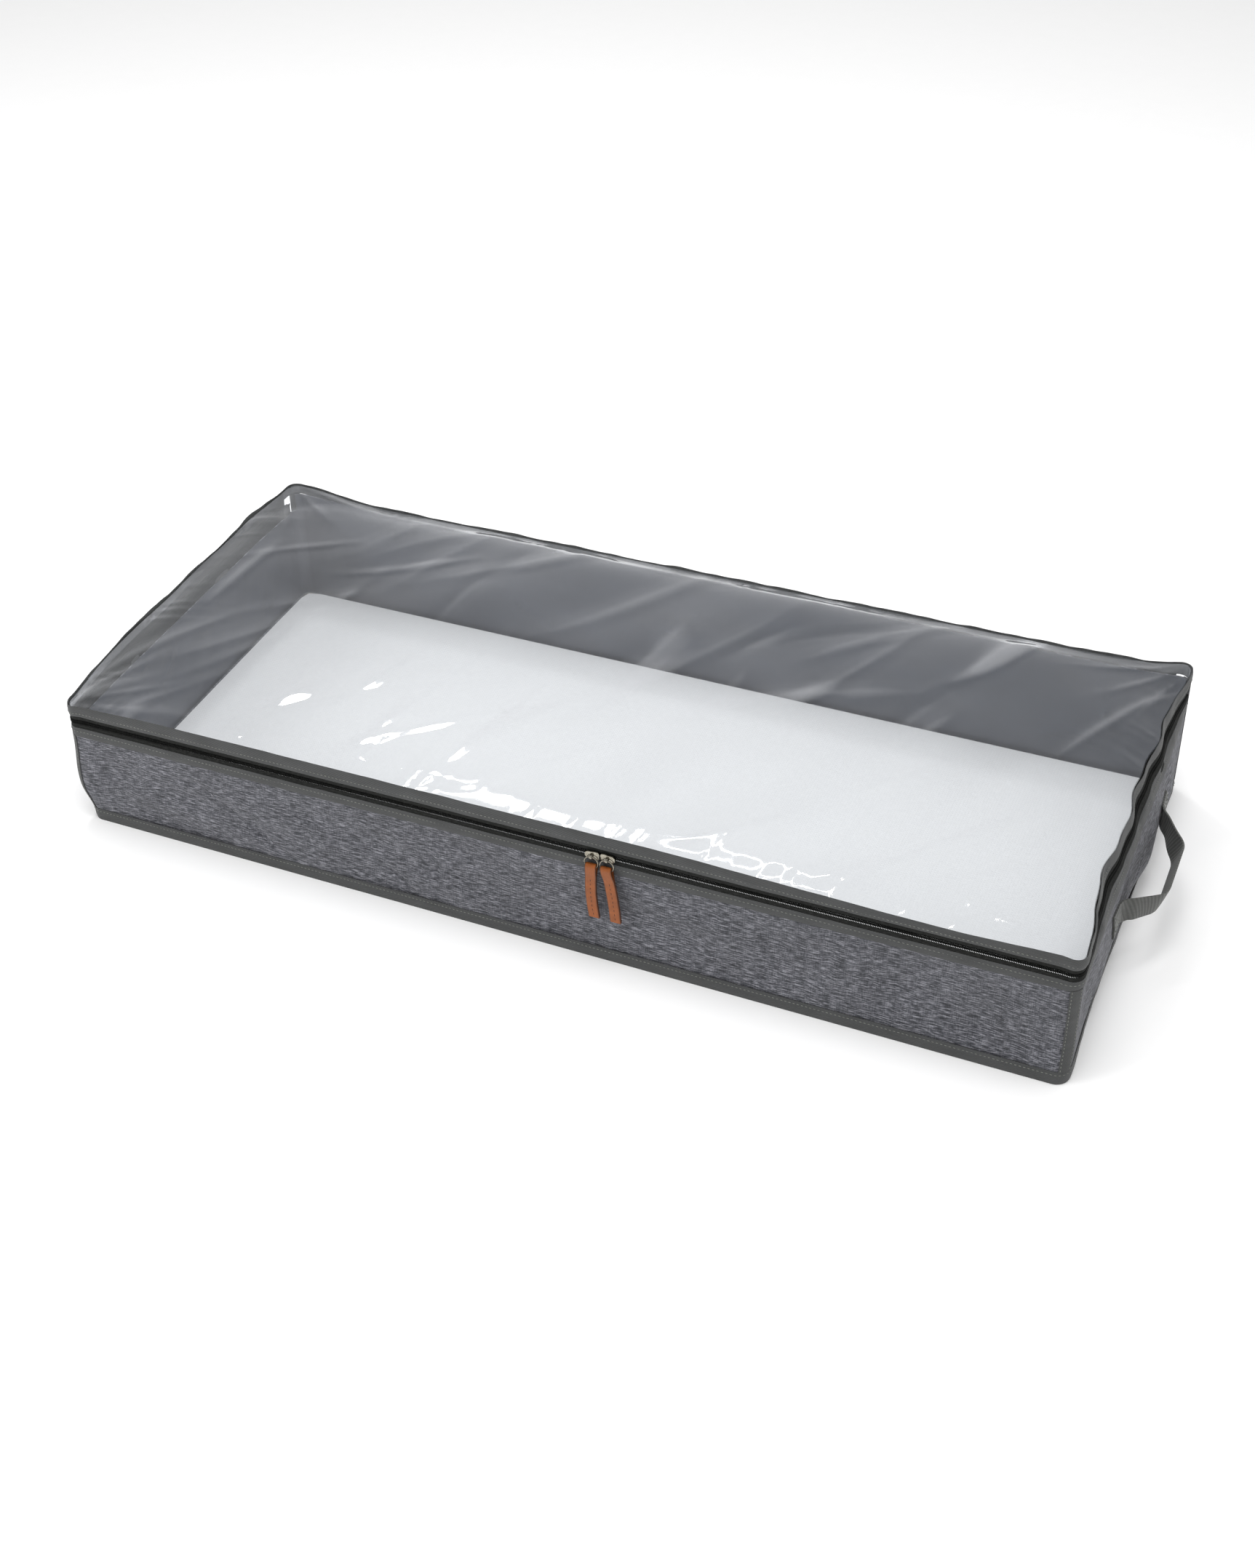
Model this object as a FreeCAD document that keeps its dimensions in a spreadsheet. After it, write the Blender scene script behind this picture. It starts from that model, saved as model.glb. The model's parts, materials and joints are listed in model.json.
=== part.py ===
import FreeCAD, Part
import math
import os
import Sketcher

# Soft under-bed storage box with a clear zipped lid, in millimetres.
# +X runs along the length, -Y is the front with the two zip sliders, +Z is up.
# The origin is the centre of the base's underside.

SIZES = [
    ("length", 1000, "outside length"),
    ("width", 450, "outside width"),
    ("corner_radius", 14, "plan radius of the outside corners"),
    ("tape", 1, "thickness of the binding tape"),
    ("fabric", 2, "thickness of a wall: face fabric and backing"),
    ("base_fabric", 2, "thickness of the base panel"),
    ("board", 2, "thickness of the loose base board"),
    ("lining", 1, "thickness of the lining on the board"),
    ("board_gap", 5, "gap between the walls and the board"),
    ("base_tape_height", 14, "height of the binding round the base"),
    ("wall_top", 111, "top of the front and end walls"),
    ("rim_bottom", 106, "bottom of the tape under the zip"),
    ("rim_top", 117, "top of the tape under the zip"),
    ("back_top", 130.5, "top of the back wall"),
    ("hinge_tape_bottom", 117, "bottom of the tape at the lid's back seam"),
    ("lid_gap", 0.3, "gap between the lid and what it closes on"),
    ("lid_bottom", 131, "bottom of the lid's binding"),
    ("lid_edge", 143, "top of the lid's binding, where the film starts"),
    ("crown", 17, "rise of the film above its edge"),
    ("film", 0.8, "thickness of the film"),
    ("film_flange_bottom", 131.4, "bottom of the film's turned-down edge"),
    ("corner_flat", 3, "reach of a corner binding along each wall"),
    ("zip_tape", 0.8, "thickness of the zip's tape"),
    ("coil", 2.4, "thickness of the zip's coil"),
    ("coil_height", 2, "height of one row of coil"),
    ("zip_middle", 123.8, "height of the line where the coils meet"),
    ("coil_gap", 1.2, "gap between the two coils for the slider's post"),
    ("upper_tape_top", 141, "top of the zip's upper tape"),
    ("upper_zip_end", 202.5, "where the upper tape ends near the back"),
    ("end_tab_length", 14, "length of the tab over each zip end"),
    ("end_tab_height", 10, "height of the tab over each zip end"),
    ("left_slider_place", 58, "place of the left slider along the front"),
    ("right_slider_place", 73, "place of the right slider along the front"),
    ("slider_length", 14, "length of a slider"),
    ("slider_height", 9.2, "height of a slider"),
    ("slider_nose", 6, "height of a slider at its ends"),
    ("slider_shoulder", 2.5, "length of a slider's tapered ends"),
    ("front_plate", 2, "thickness of a slider's front plate"),
    ("back_plate", 1, "thickness of a slider's back plate"),
    ("plate_gap", 3, "space between a slider's two plates"),
    ("post_length", 4, "length of the post between the plates"),
    ("post_height", 0.6, "height of the post between the plates"),
    ("bail_radius", 2.2, "outside radius of a slider's bail"),
    ("bail_hole", 1.2, "inside radius of a slider's bail"),
    ("bail_stand", 1.9, "height of the bail's centre above the plate"),
    ("bail_width", 2.6, "width of the bail along the zip"),
    ("ring_radius", 6.5, "radius of a pull ring at its wire's middle"),
    ("ring_wire", 0.6, "radius of a pull ring's wire"),
    ("pull_width", 10.5, "width of a leather pull"),
    ("leather", 1.2, "thickness of the leather"),
    ("pull_below", 57, "length of a pull below the ring"),
    ("fold_radius", 1.9, "inside radius of the leather's fold"),
    ("fold_centre", 1.9, "height of the fold's centre above the wire"),
    ("fold_straight", 1, "straight part of the fold below the wire"),
    ("fold_taper", 10, "depth below the wire where the two layers meet"),
    ("pull_half", 1.3, "half thickness of the sewn leather"),
    ("webbing", 1.6, "thickness of the handle webbing"),
    ("webbing_width", 25, "width of the handle webbing"),
    ("handle_height", 66, "height of the handles' middle"),
    ("handle_half_span", 82, "half the distance between a handle's sewn ends"),
    ("handle_end_length", 28, "length of webbing sewn flat to the wall"),
    ("handle_out", 34, "how far a handle stands out of the wall"),
    ("handle_slant", 38, "length along the wall of a handle's slanted legs"),
    ("handle_pivot", 2, "distance of a handle's swing line from its wall"),
    ("handle_knuckle", 13.5, "radius of the cut at a handle's flexing ends"),
]


class Dim:
    """A size in millimetres together with the sheet formula that gives it."""

    def __init__(self, value, formula):
        self.value = float(value)
        self.formula = formula

    def __add__(self, other):
        other = as_dim(other)
        return Dim(self.value + other.value, f"({self.formula} + {other.formula})")

    def __sub__(self, other):
        other = as_dim(other)
        return Dim(self.value - other.value, f"({self.formula} - {other.formula})")

    def __mul__(self, factor):
        return Dim(self.value * factor, f"({self.formula} * {factor})")

    def __truediv__(self, factor):
        return Dim(self.value / factor, f"({self.formula} / {factor})")

    def __neg__(self):
        return Dim(-self.value, f"(0 - {self.formula})")


def as_dim(value):
    """A plain number as a Dim, so that numbers and sizes add up."""
    return value if isinstance(value, Dim) else Dim(value, str(value))


ZERO = as_dim(0)

doc = FreeCAD.newDocument("under_bed_box")
sheet = doc.addObject("Spreadsheet::Sheet", "Sizes")
for row, (alias, number, note) in enumerate(SIZES, start=1):
    sheet.set(f"A{row}", str(number))
    sheet.set(f"B{row}", note)
    sheet.setAlias(f"A{row}", alias)
doc.recompute()
size = {alias: Dim(sheet.get(alias), f"Sizes.{alias}") for alias, number, note in SIZES}

half_length = size["length"] / 2
half_width = size["width"] / 2
nodes = []


def node(part, label):
    """Marks an object of the document as a piece of the box with its own file."""
    part.Label = label
    nodes.append(part)
    return part


def place(part, x, y, z, rotation=None):
    """Puts an object at a place that follows the sheet."""
    if rotation is not None:
        part.Placement.Rotation = rotation
    for letter, dim in zip("xyz", (x, y, z)):
        part.setExpression(f"Placement.Base.{letter}", as_dim(dim).formula)


def plane_of(body, role):
    for feature in body.Origin.OriginFeatures:
        if feature.Role == role:
            return feature
    raise ValueError(role)


def new_sketch(body, role, height=ZERO):
    """A sketch on one of the body's own planes, lifted off it by a height."""
    sketch = body.newObject("Sketcher::SketchObject", "Outline")
    sketch.AttachmentSupport = [(plane_of(body, role), "")]
    sketch.MapMode = "FlatFace"
    if height is not ZERO:
        sketch.setExpression("AttachmentOffset.Base.z", height.formula)
    return sketch


def line_to_next(x, y):
    return (as_dim(x), as_dim(y), None)


def arc_to_next(x, y, centre_x, centre_y, radius, turn):
    """A corner followed by an arc; turn is 1 anticlockwise and -1 clockwise."""
    return (as_dim(x), as_dim(y), (as_dim(centre_x), as_dim(centre_y), radius, turn))


def half_circle(centre, radius, turn):
    """A half circle over the top of a centre on the Y axis, as two quarter circles."""
    start = radius if turn > 0 else -radius
    return [
        arc_to_next(start, centre, 0, centre, radius, turn),
        arc_to_next(0, centre + radius, 0, centre, radius, turn),
    ]


def draw(sketch, corners):
    """Draws a closed outline of lines and arcs whose corners follow the sheet."""
    edges = []
    count = len(corners)
    for index, (x, y, arc) in enumerate(corners):
        next_x, next_y = corners[(index + 1) % count][:2]
        start = FreeCAD.Vector(x.value, y.value, 0)
        end = FreeCAD.Vector(next_x.value, next_y.value, 0)
        if arc is None:
            edge = sketch.addGeometry(Part.LineSegment(start, end), False)
            edges.append((edge, 1, 2))
            continue
        centre = FreeCAD.Vector(arc[0].value, arc[1].value, 0)
        first, last = (start, end) if arc[3] > 0 else (end, start)
        from_angle = math.atan2(first.y - centre.y, first.x - centre.x)
        to_angle = math.atan2(last.y - centre.y, last.x - centre.x)
        if to_angle < from_angle:
            to_angle += 2 * math.pi
        circle = Part.Circle(centre, FreeCAD.Vector(0, 0, 1), arc[2].value)
        edge = sketch.addGeometry(Part.ArcOfCircle(circle, from_angle, to_angle), False)
        edges.append((edge, 1, 2) if arc[3] > 0 else (edge, 2, 1))
    for index, (x, y, arc) in enumerate(corners):
        edge, start_point, end_point = edges[index]
        next_edge, next_start = edges[(index + 1) % count][:2]
        sketch.addConstraint(
            Sketcher.Constraint("Coincident", edge, end_point, next_edge, next_start)
        )
        for kind, dim, axis in (("DistanceX", x, -2), ("DistanceY", y, -1)):
            if abs(dim.value) < 1e-9:
                sketch.addConstraint(
                    Sketcher.Constraint("PointOnObject", edge, start_point, axis)
                )
                continue
            constraint = sketch.addConstraint(
                Sketcher.Constraint(kind, edge, start_point, dim.value)
            )
            sketch.setExpression(f"Constraints[{constraint}]", dim.formula)
        if arc is not None:
            constraint = sketch.addConstraint(
                Sketcher.Constraint("Radius", edge, arc[2].value)
            )
            sketch.setExpression(f"Constraints[{constraint}]", arc[2].formula)


def pad(body, sketch, height, middle=False):
    feature = body.newObject("PartDesign::Pad", "Pad")
    feature.Profile = sketch
    feature.setExpression("Length", height.formula)
    feature.Midplane = middle
    sketch.Visibility = False
    return feature


def rounded_rectangle(inset):
    """The outline of the box in plan, moved inwards by an inset."""
    x = half_length - inset
    y = half_width - inset
    radius = size["corner_radius"] - inset
    cx = x - radius
    cy = y - radius
    return [
        line_to_next(-cx, -y),
        arc_to_next(cx, -y, cx, -cy, radius, 1),
        line_to_next(x, -cy),
        arc_to_next(x, cy, cx, cy, radius, 1),
        line_to_next(cx, y),
        arc_to_next(-cx, y, -cx, cy, radius, 1),
        line_to_next(-x, cy),
        arc_to_next(-x, -cy, -cx, -cy, radius, 1),
    ]


def front_u(inset, thickness, back_end):
    """The outline of a band that runs along the left end, the front and the right end."""
    x = half_length - inset
    y = half_width - inset
    radius = size["corner_radius"] - inset
    cx = x - radius
    cy = y - radius
    inner_radius = radius - thickness
    return [
        line_to_next(-x, back_end),
        arc_to_next(-x, -cy, -cx, -cy, radius, 1),
        line_to_next(-cx, -y),
        arc_to_next(cx, -y, cx, -cy, radius, 1),
        line_to_next(x, -cy),
        line_to_next(x, back_end),
        line_to_next(x - thickness, back_end),
        arc_to_next(x - thickness, -cy, cx, -cy, inner_radius, -1),
        line_to_next(cx, thickness - y),
        arc_to_next(-cx, thickness - y, -cx, -cy, inner_radius, -1),
        line_to_next(thickness - x, -cy),
        line_to_next(thickness - x, back_end),
    ]


def plate(label, inset, bottom, thickness):
    """A flat sheet with the box's plan, moved inwards by an inset."""
    body = doc.addObject("PartDesign::Body", "Plate")
    sketch = new_sketch(body, "XY_Plane")
    draw(sketch, rounded_rectangle(as_dim(inset)))
    pad(body, sketch, as_dim(thickness))
    place(body, 0, 0, bottom)
    return node(body, label)


def ring_band(label, inset, thickness, bottom, top):
    """A band that runs all the way round the box."""
    body = doc.addObject("PartDesign::Body", "Band")
    sketch = new_sketch(body, "XY_Plane")
    draw(sketch, rounded_rectangle(as_dim(inset)))
    draw(sketch, rounded_rectangle(as_dim(inset) + thickness))
    pad(body, sketch, top - bottom)
    place(body, 0, 0, bottom)
    return node(body, label) if label else body


def front_band(label, inset, thickness, bottom, top, back_end):
    """A band round the left end, the front and the right end."""
    body = doc.addObject("PartDesign::Body", "Band")
    sketch = new_sketch(body, "XY_Plane")
    draw(sketch, front_u(as_dim(inset), thickness, back_end))
    pad(body, sketch, top - bottom)
    place(body, 0, 0, bottom)
    return node(body, label)


def box(label, corner, extent):
    """A rectangular panel from its lowest corner and its three sides."""
    part = doc.addObject("Part::Box", "Panel")
    for name, dim in zip(("Length", "Width", "Height"), extent):
        part.setExpression(name, as_dim(dim).formula)
    place(part, *corner)
    return node(part, label) if label else part


def make_base():
    """The fabric base, the binding round its edge, and the loose lined board on it."""
    plate("base_panel", size["tape"], ZERO, size["base_fabric"])
    ring_band("base_edge_binding", ZERO, size["tape"], ZERO, size["base_tape_height"])
    inset = size["tape"] + size["fabric"] + size["board_gap"]
    board_top = size["base_fabric"] + size["board"]
    plate("base_board", inset, size["base_fabric"], size["board"])
    plate("base_lining", inset, board_top, size["lining"])


def make_walls():
    """The four wall panels, which stand on the base between the corner bindings."""
    straight_x = half_length - size["corner_radius"]
    straight_y = half_width - size["corner_radius"]
    wall_x = half_length - size["tape"]
    wall_y = half_width - size["tape"]
    low = size["base_fabric"]
    fabric = size["fabric"]
    side_height = size["wall_top"] - low
    box("front_wall", (-straight_x, -wall_y, low), (straight_x * 2, fabric, side_height))
    back_height = size["back_top"] - low
    back_y = wall_y - fabric
    box("back_wall", (-straight_x, back_y, low), (straight_x * 2, fabric, back_height))
    box("left_wall", (-wall_x, -straight_y, low), (fabric, straight_y * 2, side_height))
    box("right_wall", (wall_x - fabric, -straight_y, low), (fabric, straight_y * 2, side_height))


def make_corner_binding(label, x, y, quarter_turns, inner_top, outer_top):
    """The bound seam where two walls meet: a core in the walls' own thickness and a tape
    that laps a little way over both walls."""
    body = doc.addObject("PartDesign::Body", "Corner")
    radius = size["corner_radius"]
    tape = size["tape"]
    core_outer = radius - tape
    core_inner = core_outer - size["fabric"]
    core = new_sketch(body, "XY_Plane", size["base_fabric"])
    draw(core, [
        arc_to_next(core_outer, 0, 0, 0, core_outer, 1),
        line_to_next(0, core_outer),
        arc_to_next(0, core_inner, 0, 0, core_inner, -1),
        line_to_next(core_inner, 0),
    ])
    pad(body, core, inner_top - size["base_fabric"])
    lap = -size["corner_flat"]
    skin = new_sketch(body, "XY_Plane", size["base_tape_height"])
    draw(skin, [
        line_to_next(radius, lap),
        arc_to_next(radius, 0, 0, 0, radius, 1),
        line_to_next(0, radius),
        line_to_next(lap, radius),
        line_to_next(lap, core_outer),
        arc_to_next(0, core_outer, 0, 0, core_outer, -1),
        line_to_next(core_outer, 0),
        line_to_next(core_outer, lap),
    ])
    pad(body, skin, outer_top - size["base_tape_height"])
    turn = FreeCAD.Rotation(FreeCAD.Vector(0, 0, 1), 90 * quarter_turns)
    place(body, x, y, ZERO, turn)
    return node(body, label)


def make_corners():
    x = half_length - size["corner_radius"]
    y = half_width - size["corner_radius"]
    back_skin_top = size["lid_bottom"] - size["lid_gap"]
    low = (size["wall_top"], size["rim_bottom"])
    high = (size["back_top"], back_skin_top)
    make_corner_binding("back_right_corner_binding", x, y, 0, *high)
    make_corner_binding("back_left_corner_binding", -x, y, 1, *high)
    make_corner_binding("front_left_corner_binding", -x, -y, 2, *low)
    make_corner_binding("front_right_corner_binding", x, -y, 3, *low)


def make_rim_and_zip():
    """The tape under the zip, the zip's lower half on the box, its upper half on the lid,
    and the tabs that cover the ends of the lower half."""
    tape = size["tape"]
    skin_end = half_width - size["corner_radius"] - size["corner_flat"]
    core_end = half_width - size["corner_radius"]
    front_band("rim_tape", ZERO, tape, size["rim_bottom"], size["rim_top"], skin_end)
    half_gap = size["coil_gap"] / 2
    lower_coil_top = size["zip_middle"] - half_gap
    lower_coil_bottom = lower_coil_top - size["coil_height"]
    upper_coil_bottom = size["zip_middle"] + half_gap
    upper_coil_top = upper_coil_bottom + size["coil_height"]
    coil_inset = tape + size["zip_tape"] / 2 - size["coil"] / 2
    upper_end = size["upper_zip_end"]
    zip_tape = size["zip_tape"]
    front_band("zip_lower_tape", tape, zip_tape, size["wall_top"], lower_coil_bottom, core_end)
    front_band("zip_lower_coil", coil_inset, size["coil"], lower_coil_bottom, lower_coil_top, skin_end)
    front_band("zip_upper_coil", coil_inset, size["coil"], upper_coil_bottom, upper_coil_top, upper_end)
    front_band("zip_upper_tape", tape, zip_tape, upper_coil_top, size["upper_tape_top"], upper_end)
    tab_x = half_length - tape - zip_tape
    tab_y = core_end - size["end_tab_length"]
    extent = (zip_tape, size["end_tab_length"], size["end_tab_height"])
    tab_z = size["wall_top"]
    right_tab = box(None, (tab_x - zip_tape, tab_y, tab_z), extent)
    left_tab = box(None, (-tab_x, tab_y, tab_z), extent)
    tabs = doc.addObject("Part::Compound", "Tabs")
    tabs.Links = [left_tab, right_tab]
    node(tabs, "zip_end_tabs")


def crowned_film():
    """The film's crowned top: it rises quickly from its edge and is flat in the middle."""
    inset = size["tape"].value + size["zip_tape"].value
    half_x = half_length.value - inset
    half_y = half_width.value - inset
    fullness = 3
    steps = 12
    grid = []
    for i in range(steps + 1):
        across = 2 * i / steps - 1
        row = []
        for j in range(steps + 1):
            up = 2 * j / steps - 1
            rise = (1 - abs(across) ** fullness) * (1 - abs(up) ** fullness)
            height = size["lid_edge"].value + size["crown"].value * rise
            row.append(FreeCAD.Vector(half_x * across, half_y * up, height))
        grid.append(row)
    surface = Part.BSplineSurface()
    surface.interpolate(grid)
    sheet_of_film = surface.toShape().extrude(FreeCAD.Vector(0, 0, -size["film"].value))
    crown = doc.addObject("Part::Feature", "Crown")
    crown.Shape = sheet_of_film
    return crown


def make_lid():
    """The clear film with its turned-down edge, and the tape that binds it."""
    tape = size["tape"]
    inset = tape + size["zip_tape"]
    outline = doc.addObject("PartDesign::Body", "FilmOutline")
    sketch = new_sketch(outline, "XY_Plane")
    draw(sketch, rounded_rectangle(inset))
    pad(outline, sketch, size["lid_edge"] + size["crown"] * 2)
    top = doc.addObject("Part::Common", "FilmTop")
    top.Base = crowned_film()
    top.Tool = outline
    flange = ring_band(None, inset, size["film"], size["film_flange_bottom"], size["lid_edge"])
    film = doc.addObject("Part::Fuse", "Film")
    film.Base = top
    film.Tool = flange
    node(film, "lid_film")
    ring_band("lid_binding", ZERO, tape, size["lid_bottom"], size["lid_edge"])


def make_hinge_tape():
    """The tape sewn along the back wall's top, which the lid folds back from."""
    reach = half_length - size["corner_radius"] - size["corner_flat"]
    bottom = size["hinge_tape_bottom"]
    height = size["lid_bottom"] - size["lid_gap"] - bottom
    corner = (-reach, half_width - size["tape"], bottom)
    box("back_hinge_tape", corner, (reach * 2, size["tape"], height))


def slider_plate(body, bottom, thickness):
    sketch = new_sketch(body, "XY_Plane", bottom)
    half = size["slider_length"] / 2
    high = size["slider_height"] / 2
    nose = size["slider_nose"] / 2
    shoulder = half - size["slider_shoulder"]
    draw(sketch, [
        line_to_next(-half, -nose),
        line_to_next(-shoulder, -high),
        line_to_next(shoulder, -high),
        line_to_next(half, -nose),
        line_to_next(half, nose),
        line_to_next(shoulder, high),
        line_to_next(-shoulder, high),
        line_to_next(-half, nose),
    ])
    pad(body, sketch, thickness)


zip_plane = -(half_width - size["tape"] - size["zip_tape"] / 2)
front_of_plates = size["plate_gap"] / 2 + size["front_plate"]
bail_centre = front_of_plates + size["bail_stand"]
ring_y = zip_plane - bail_centre


def make_slider(side, x):
    """A slider: two plates joined by a post between the coils, and a bail for the ring.
    Its own Z axis points out of the front wall."""
    body = doc.addObject("PartDesign::Body", "Slider")
    half_gap = size["plate_gap"] / 2
    slider_plate(body, half_gap, size["front_plate"])
    post = new_sketch(body, "XY_Plane", -half_gap)
    half_post = size["post_length"] / 2
    high = size["post_height"] / 2
    draw(post, [
        line_to_next(-half_post, -high),
        line_to_next(half_post, -high),
        line_to_next(half_post, high),
        line_to_next(-half_post, high),
    ])
    pad(body, post, size["plate_gap"])
    slider_plate(body, -half_gap - size["back_plate"], size["back_plate"])
    bail = new_sketch(body, "YZ_Plane")
    outer = size["bail_radius"]
    inner = size["bail_hole"]
    draw(bail, [
        line_to_next(outer, front_of_plates),
        *half_circle(bail_centre, outer, 1),
        line_to_next(-outer, bail_centre),
        line_to_next(-outer, front_of_plates),
        line_to_next(-inner, front_of_plates),
        *half_circle(bail_centre, inner, -1),
        line_to_next(inner, bail_centre),
        line_to_next(inner, front_of_plates),
    ])
    pad(body, bail, size["bail_width"], middle=True)
    upright = FreeCAD.Rotation(FreeCAD.Vector(1, 0, 0), 90)
    place(body, x, zip_plane, size["zip_middle"], upright)
    node(body, f"{side}_slider")


def make_ring(side, x):
    """The split ring that hangs from a slider's bail."""
    ring = doc.addObject("Part::Torus", "Ring")
    ring.setExpression("Radius1", size["ring_radius"].formula)
    ring.setExpression("Radius2", size["ring_wire"].formula)
    upright = FreeCAD.Rotation(FreeCAD.Vector(1, 0, 0), 90)
    place(ring, x, ring_y, size["zip_middle"] - size["ring_radius"], upright)
    node(ring, f"{side}_pull_ring")


def make_pull(side, x):
    """The strip of leather folded over the ring and sewn to itself below it."""
    body = doc.addObject("PartDesign::Body", "Pull")
    hole = size["fold_radius"]
    skin = hole + size["leather"]
    centre = size["fold_centre"]
    straight = -size["fold_straight"]
    meet = -size["fold_taper"]
    half = size["pull_half"]
    tip = -size["pull_below"]
    profile = new_sketch(body, "YZ_Plane")
    draw(profile, [
        *half_circle(centre, skin, 1),
        line_to_next(-skin, centre),
        line_to_next(-skin, straight),
        line_to_next(-half, meet),
        line_to_next(-half, tip),
        line_to_next(half, tip),
        line_to_next(half, meet),
        line_to_next(skin, straight),
    ])
    draw(profile, [
        *half_circle(centre, hole, 1),
        line_to_next(-hole, centre),
        line_to_next(-hole, straight),
        line_to_next(0, meet),
        line_to_next(hole, straight),
    ])
    pad(body, profile, size["pull_width"], middle=True)
    place(body, x, ring_y, size["zip_middle"] - size["ring_radius"] * 2)
    node(body, f"{side}_leather_pull")


def handle_outline(body):
    """The webbing seen from above, from one sewn end round the loop to the other. Its own
    X axis points away from the wall, whose face is at 0."""
    sketch = new_sketch(body, "XY_Plane")
    thick = size["webbing"]
    span = size["handle_half_span"]
    end = span + size["handle_end_length"]
    out = size["handle_out"]
    knee = span - size["handle_slant"]
    draw(sketch, [
        line_to_next(0, -end),
        line_to_next(thick, -end),
        line_to_next(thick, -span),
        line_to_next(out, -knee),
        line_to_next(out, knee),
        line_to_next(thick, span),
        line_to_next(thick, end),
        line_to_next(0, end),
        line_to_next(0, span - thick),
        line_to_next(out - thick, knee - thick),
        line_to_next(out - thick, thick - knee),
        line_to_next(0, thick - span),
    ])
    pad(body, sketch, size["webbing_width"], middle=True)


def make_handle(side, direction):
    """One handle. The webbing flexes where it leaves the wall, so the loop is cut from its
    ends on a circle about the line it swings on, and bevelled so that it can rise. Each end
    is a flat patch sewn to the wall and the slanted stretch that comes off it."""
    turn = FreeCAD.Rotation(FreeCAD.Vector(0, 0, 1), 0 if direction > 0 else 180)
    wall_x = half_length - size["tape"]
    x = wall_x if direction > 0 else -wall_x
    knuckle = size["handle_knuckle"]
    across = size["width"]

    def whole_webbing():
        body = doc.addObject("PartDesign::Body", "Webbing")
        handle_outline(body)
        return body

    def cylinder(radius, length):
        part = doc.addObject("Part::Cylinder", "Knuckle")
        part.setExpression("Radius", radius.formula)
        part.setExpression("Height", length.formula)
        along_y = FreeCAD.Rotation(FreeCAD.Vector(1, 0, 0), -90)
        place(part, size["handle_pivot"], -length / 2, ZERO, along_y)
        return part

    def patch(low):
        part = doc.addObject("Part::Box", "Patch")
        part.setExpression("Length", size["webbing"].formula)
        part.setExpression("Width", size["handle_end_length"].formula)
        part.setExpression("Height", size["webbing_width"].formula)
        place(part, ZERO, low, -size["webbing_width"] / 2)
        return part

    span = size["handle_half_span"]
    patches = doc.addObject("Part::Fuse", "Patches")
    patches.Base = patch(-span - size["handle_end_length"])
    patches.Tool = patch(span)
    place(patches, x, ZERO, size["handle_height"], turn)
    node(patches, f"{side}_handle_patches")

    ends = doc.addObject("Part::Common", "Ends")
    ends.Base = whole_webbing()
    ends.Tool = cylinder(knuckle - size["lid_gap"], span * 2)
    place(ends, x, ZERO, size["handle_height"], turn)
    node(ends, f"{side}_handle_ends")

    bevel = doc.addObject("Part::Box", "Bevel")
    bevel_side = knuckle * 4
    for name in ("Length", "Height"):
        bevel.setExpression(name, bevel_side.formula)
    bevel.setExpression("Width", across.formula)
    eighth_turn = FreeCAD.Rotation(FreeCAD.Vector(0, 1, 0), -45)
    clear = size["lid_gap"] * 2
    corner = knuckle * math.sqrt(2)
    place(bevel, size["handle_pivot"] + clear - corner, -across / 2, -corner, eighth_turn)
    tool = doc.addObject("Part::Fuse", "FlexRoom")
    tool.Base = cylinder(knuckle, across)
    tool.Tool = bevel
    loop = doc.addObject("Part::Cut", "Loop")
    loop.Base = whole_webbing()
    loop.Tool = tool
    place(loop, x, ZERO, size["handle_height"], turn)
    node(loop, f"{side}_handle_loop")


make_base()
make_walls()
make_corners()
make_rim_and_zip()
make_lid()
make_hinge_tape()
for slider_side in ("left", "right"):
    slider_x = size[f"{slider_side}_slider_place"]
    make_slider(slider_side, slider_x)
    make_ring(slider_side, slider_x)
    make_pull(slider_side, slider_x)
make_handle("left", -1)
make_handle("right", 1)
doc.recompute()

for part in doc.Objects:
    if "Invalid" in part.State or "Error" in part.State:
        raise RuntimeError(f"{part.Label} failed to compute: {part.State}")
os.makedirs("parts", exist_ok=True)
for part in nodes:
    if part.Shape.isNull() or not part.Shape.isValid() or not part.Shape.Solids:
        raise RuntimeError(f"{part.Label} has no valid solid")
    part.Shape.exportStep(f"parts/{part.Label}.step")
    bounds = part.Shape.BoundBox
    print(f"{part.Label:28s} solids {len(part.Shape.Solids)}  volume {part.Shape.Volume:10.0f}"
          f"  x {bounds.XMin:7.1f} {bounds.XMax:7.1f}  y {bounds.YMin:7.1f} {bounds.YMax:7.1f}"
          f"  z {bounds.ZMin:6.1f} {bounds.ZMax:6.1f}")
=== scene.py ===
import json
import math

import bmesh
import bpy
import numpy as np
from mathutils import Matrix, Vector


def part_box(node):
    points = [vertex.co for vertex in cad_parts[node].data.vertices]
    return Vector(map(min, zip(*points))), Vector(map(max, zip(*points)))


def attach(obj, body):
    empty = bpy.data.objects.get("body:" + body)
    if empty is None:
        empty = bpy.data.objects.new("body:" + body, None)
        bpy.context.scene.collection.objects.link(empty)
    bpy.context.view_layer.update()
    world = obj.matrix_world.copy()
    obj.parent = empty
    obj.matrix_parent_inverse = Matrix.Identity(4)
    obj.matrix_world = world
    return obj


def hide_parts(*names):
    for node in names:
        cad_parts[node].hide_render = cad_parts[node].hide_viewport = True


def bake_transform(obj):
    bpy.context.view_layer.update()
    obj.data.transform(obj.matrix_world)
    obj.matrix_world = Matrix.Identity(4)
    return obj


bl_info = {
    "name": "Under bed box",
    "version": (1, 0, 0),
    "blender": (4, 5, 0),
    "location": "3D View > Sidebar > Bed Box",
    "description": "Builds a soft zipped under-bed storage box round its packed frame",
    "category": "Add Mesh",
}

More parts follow.
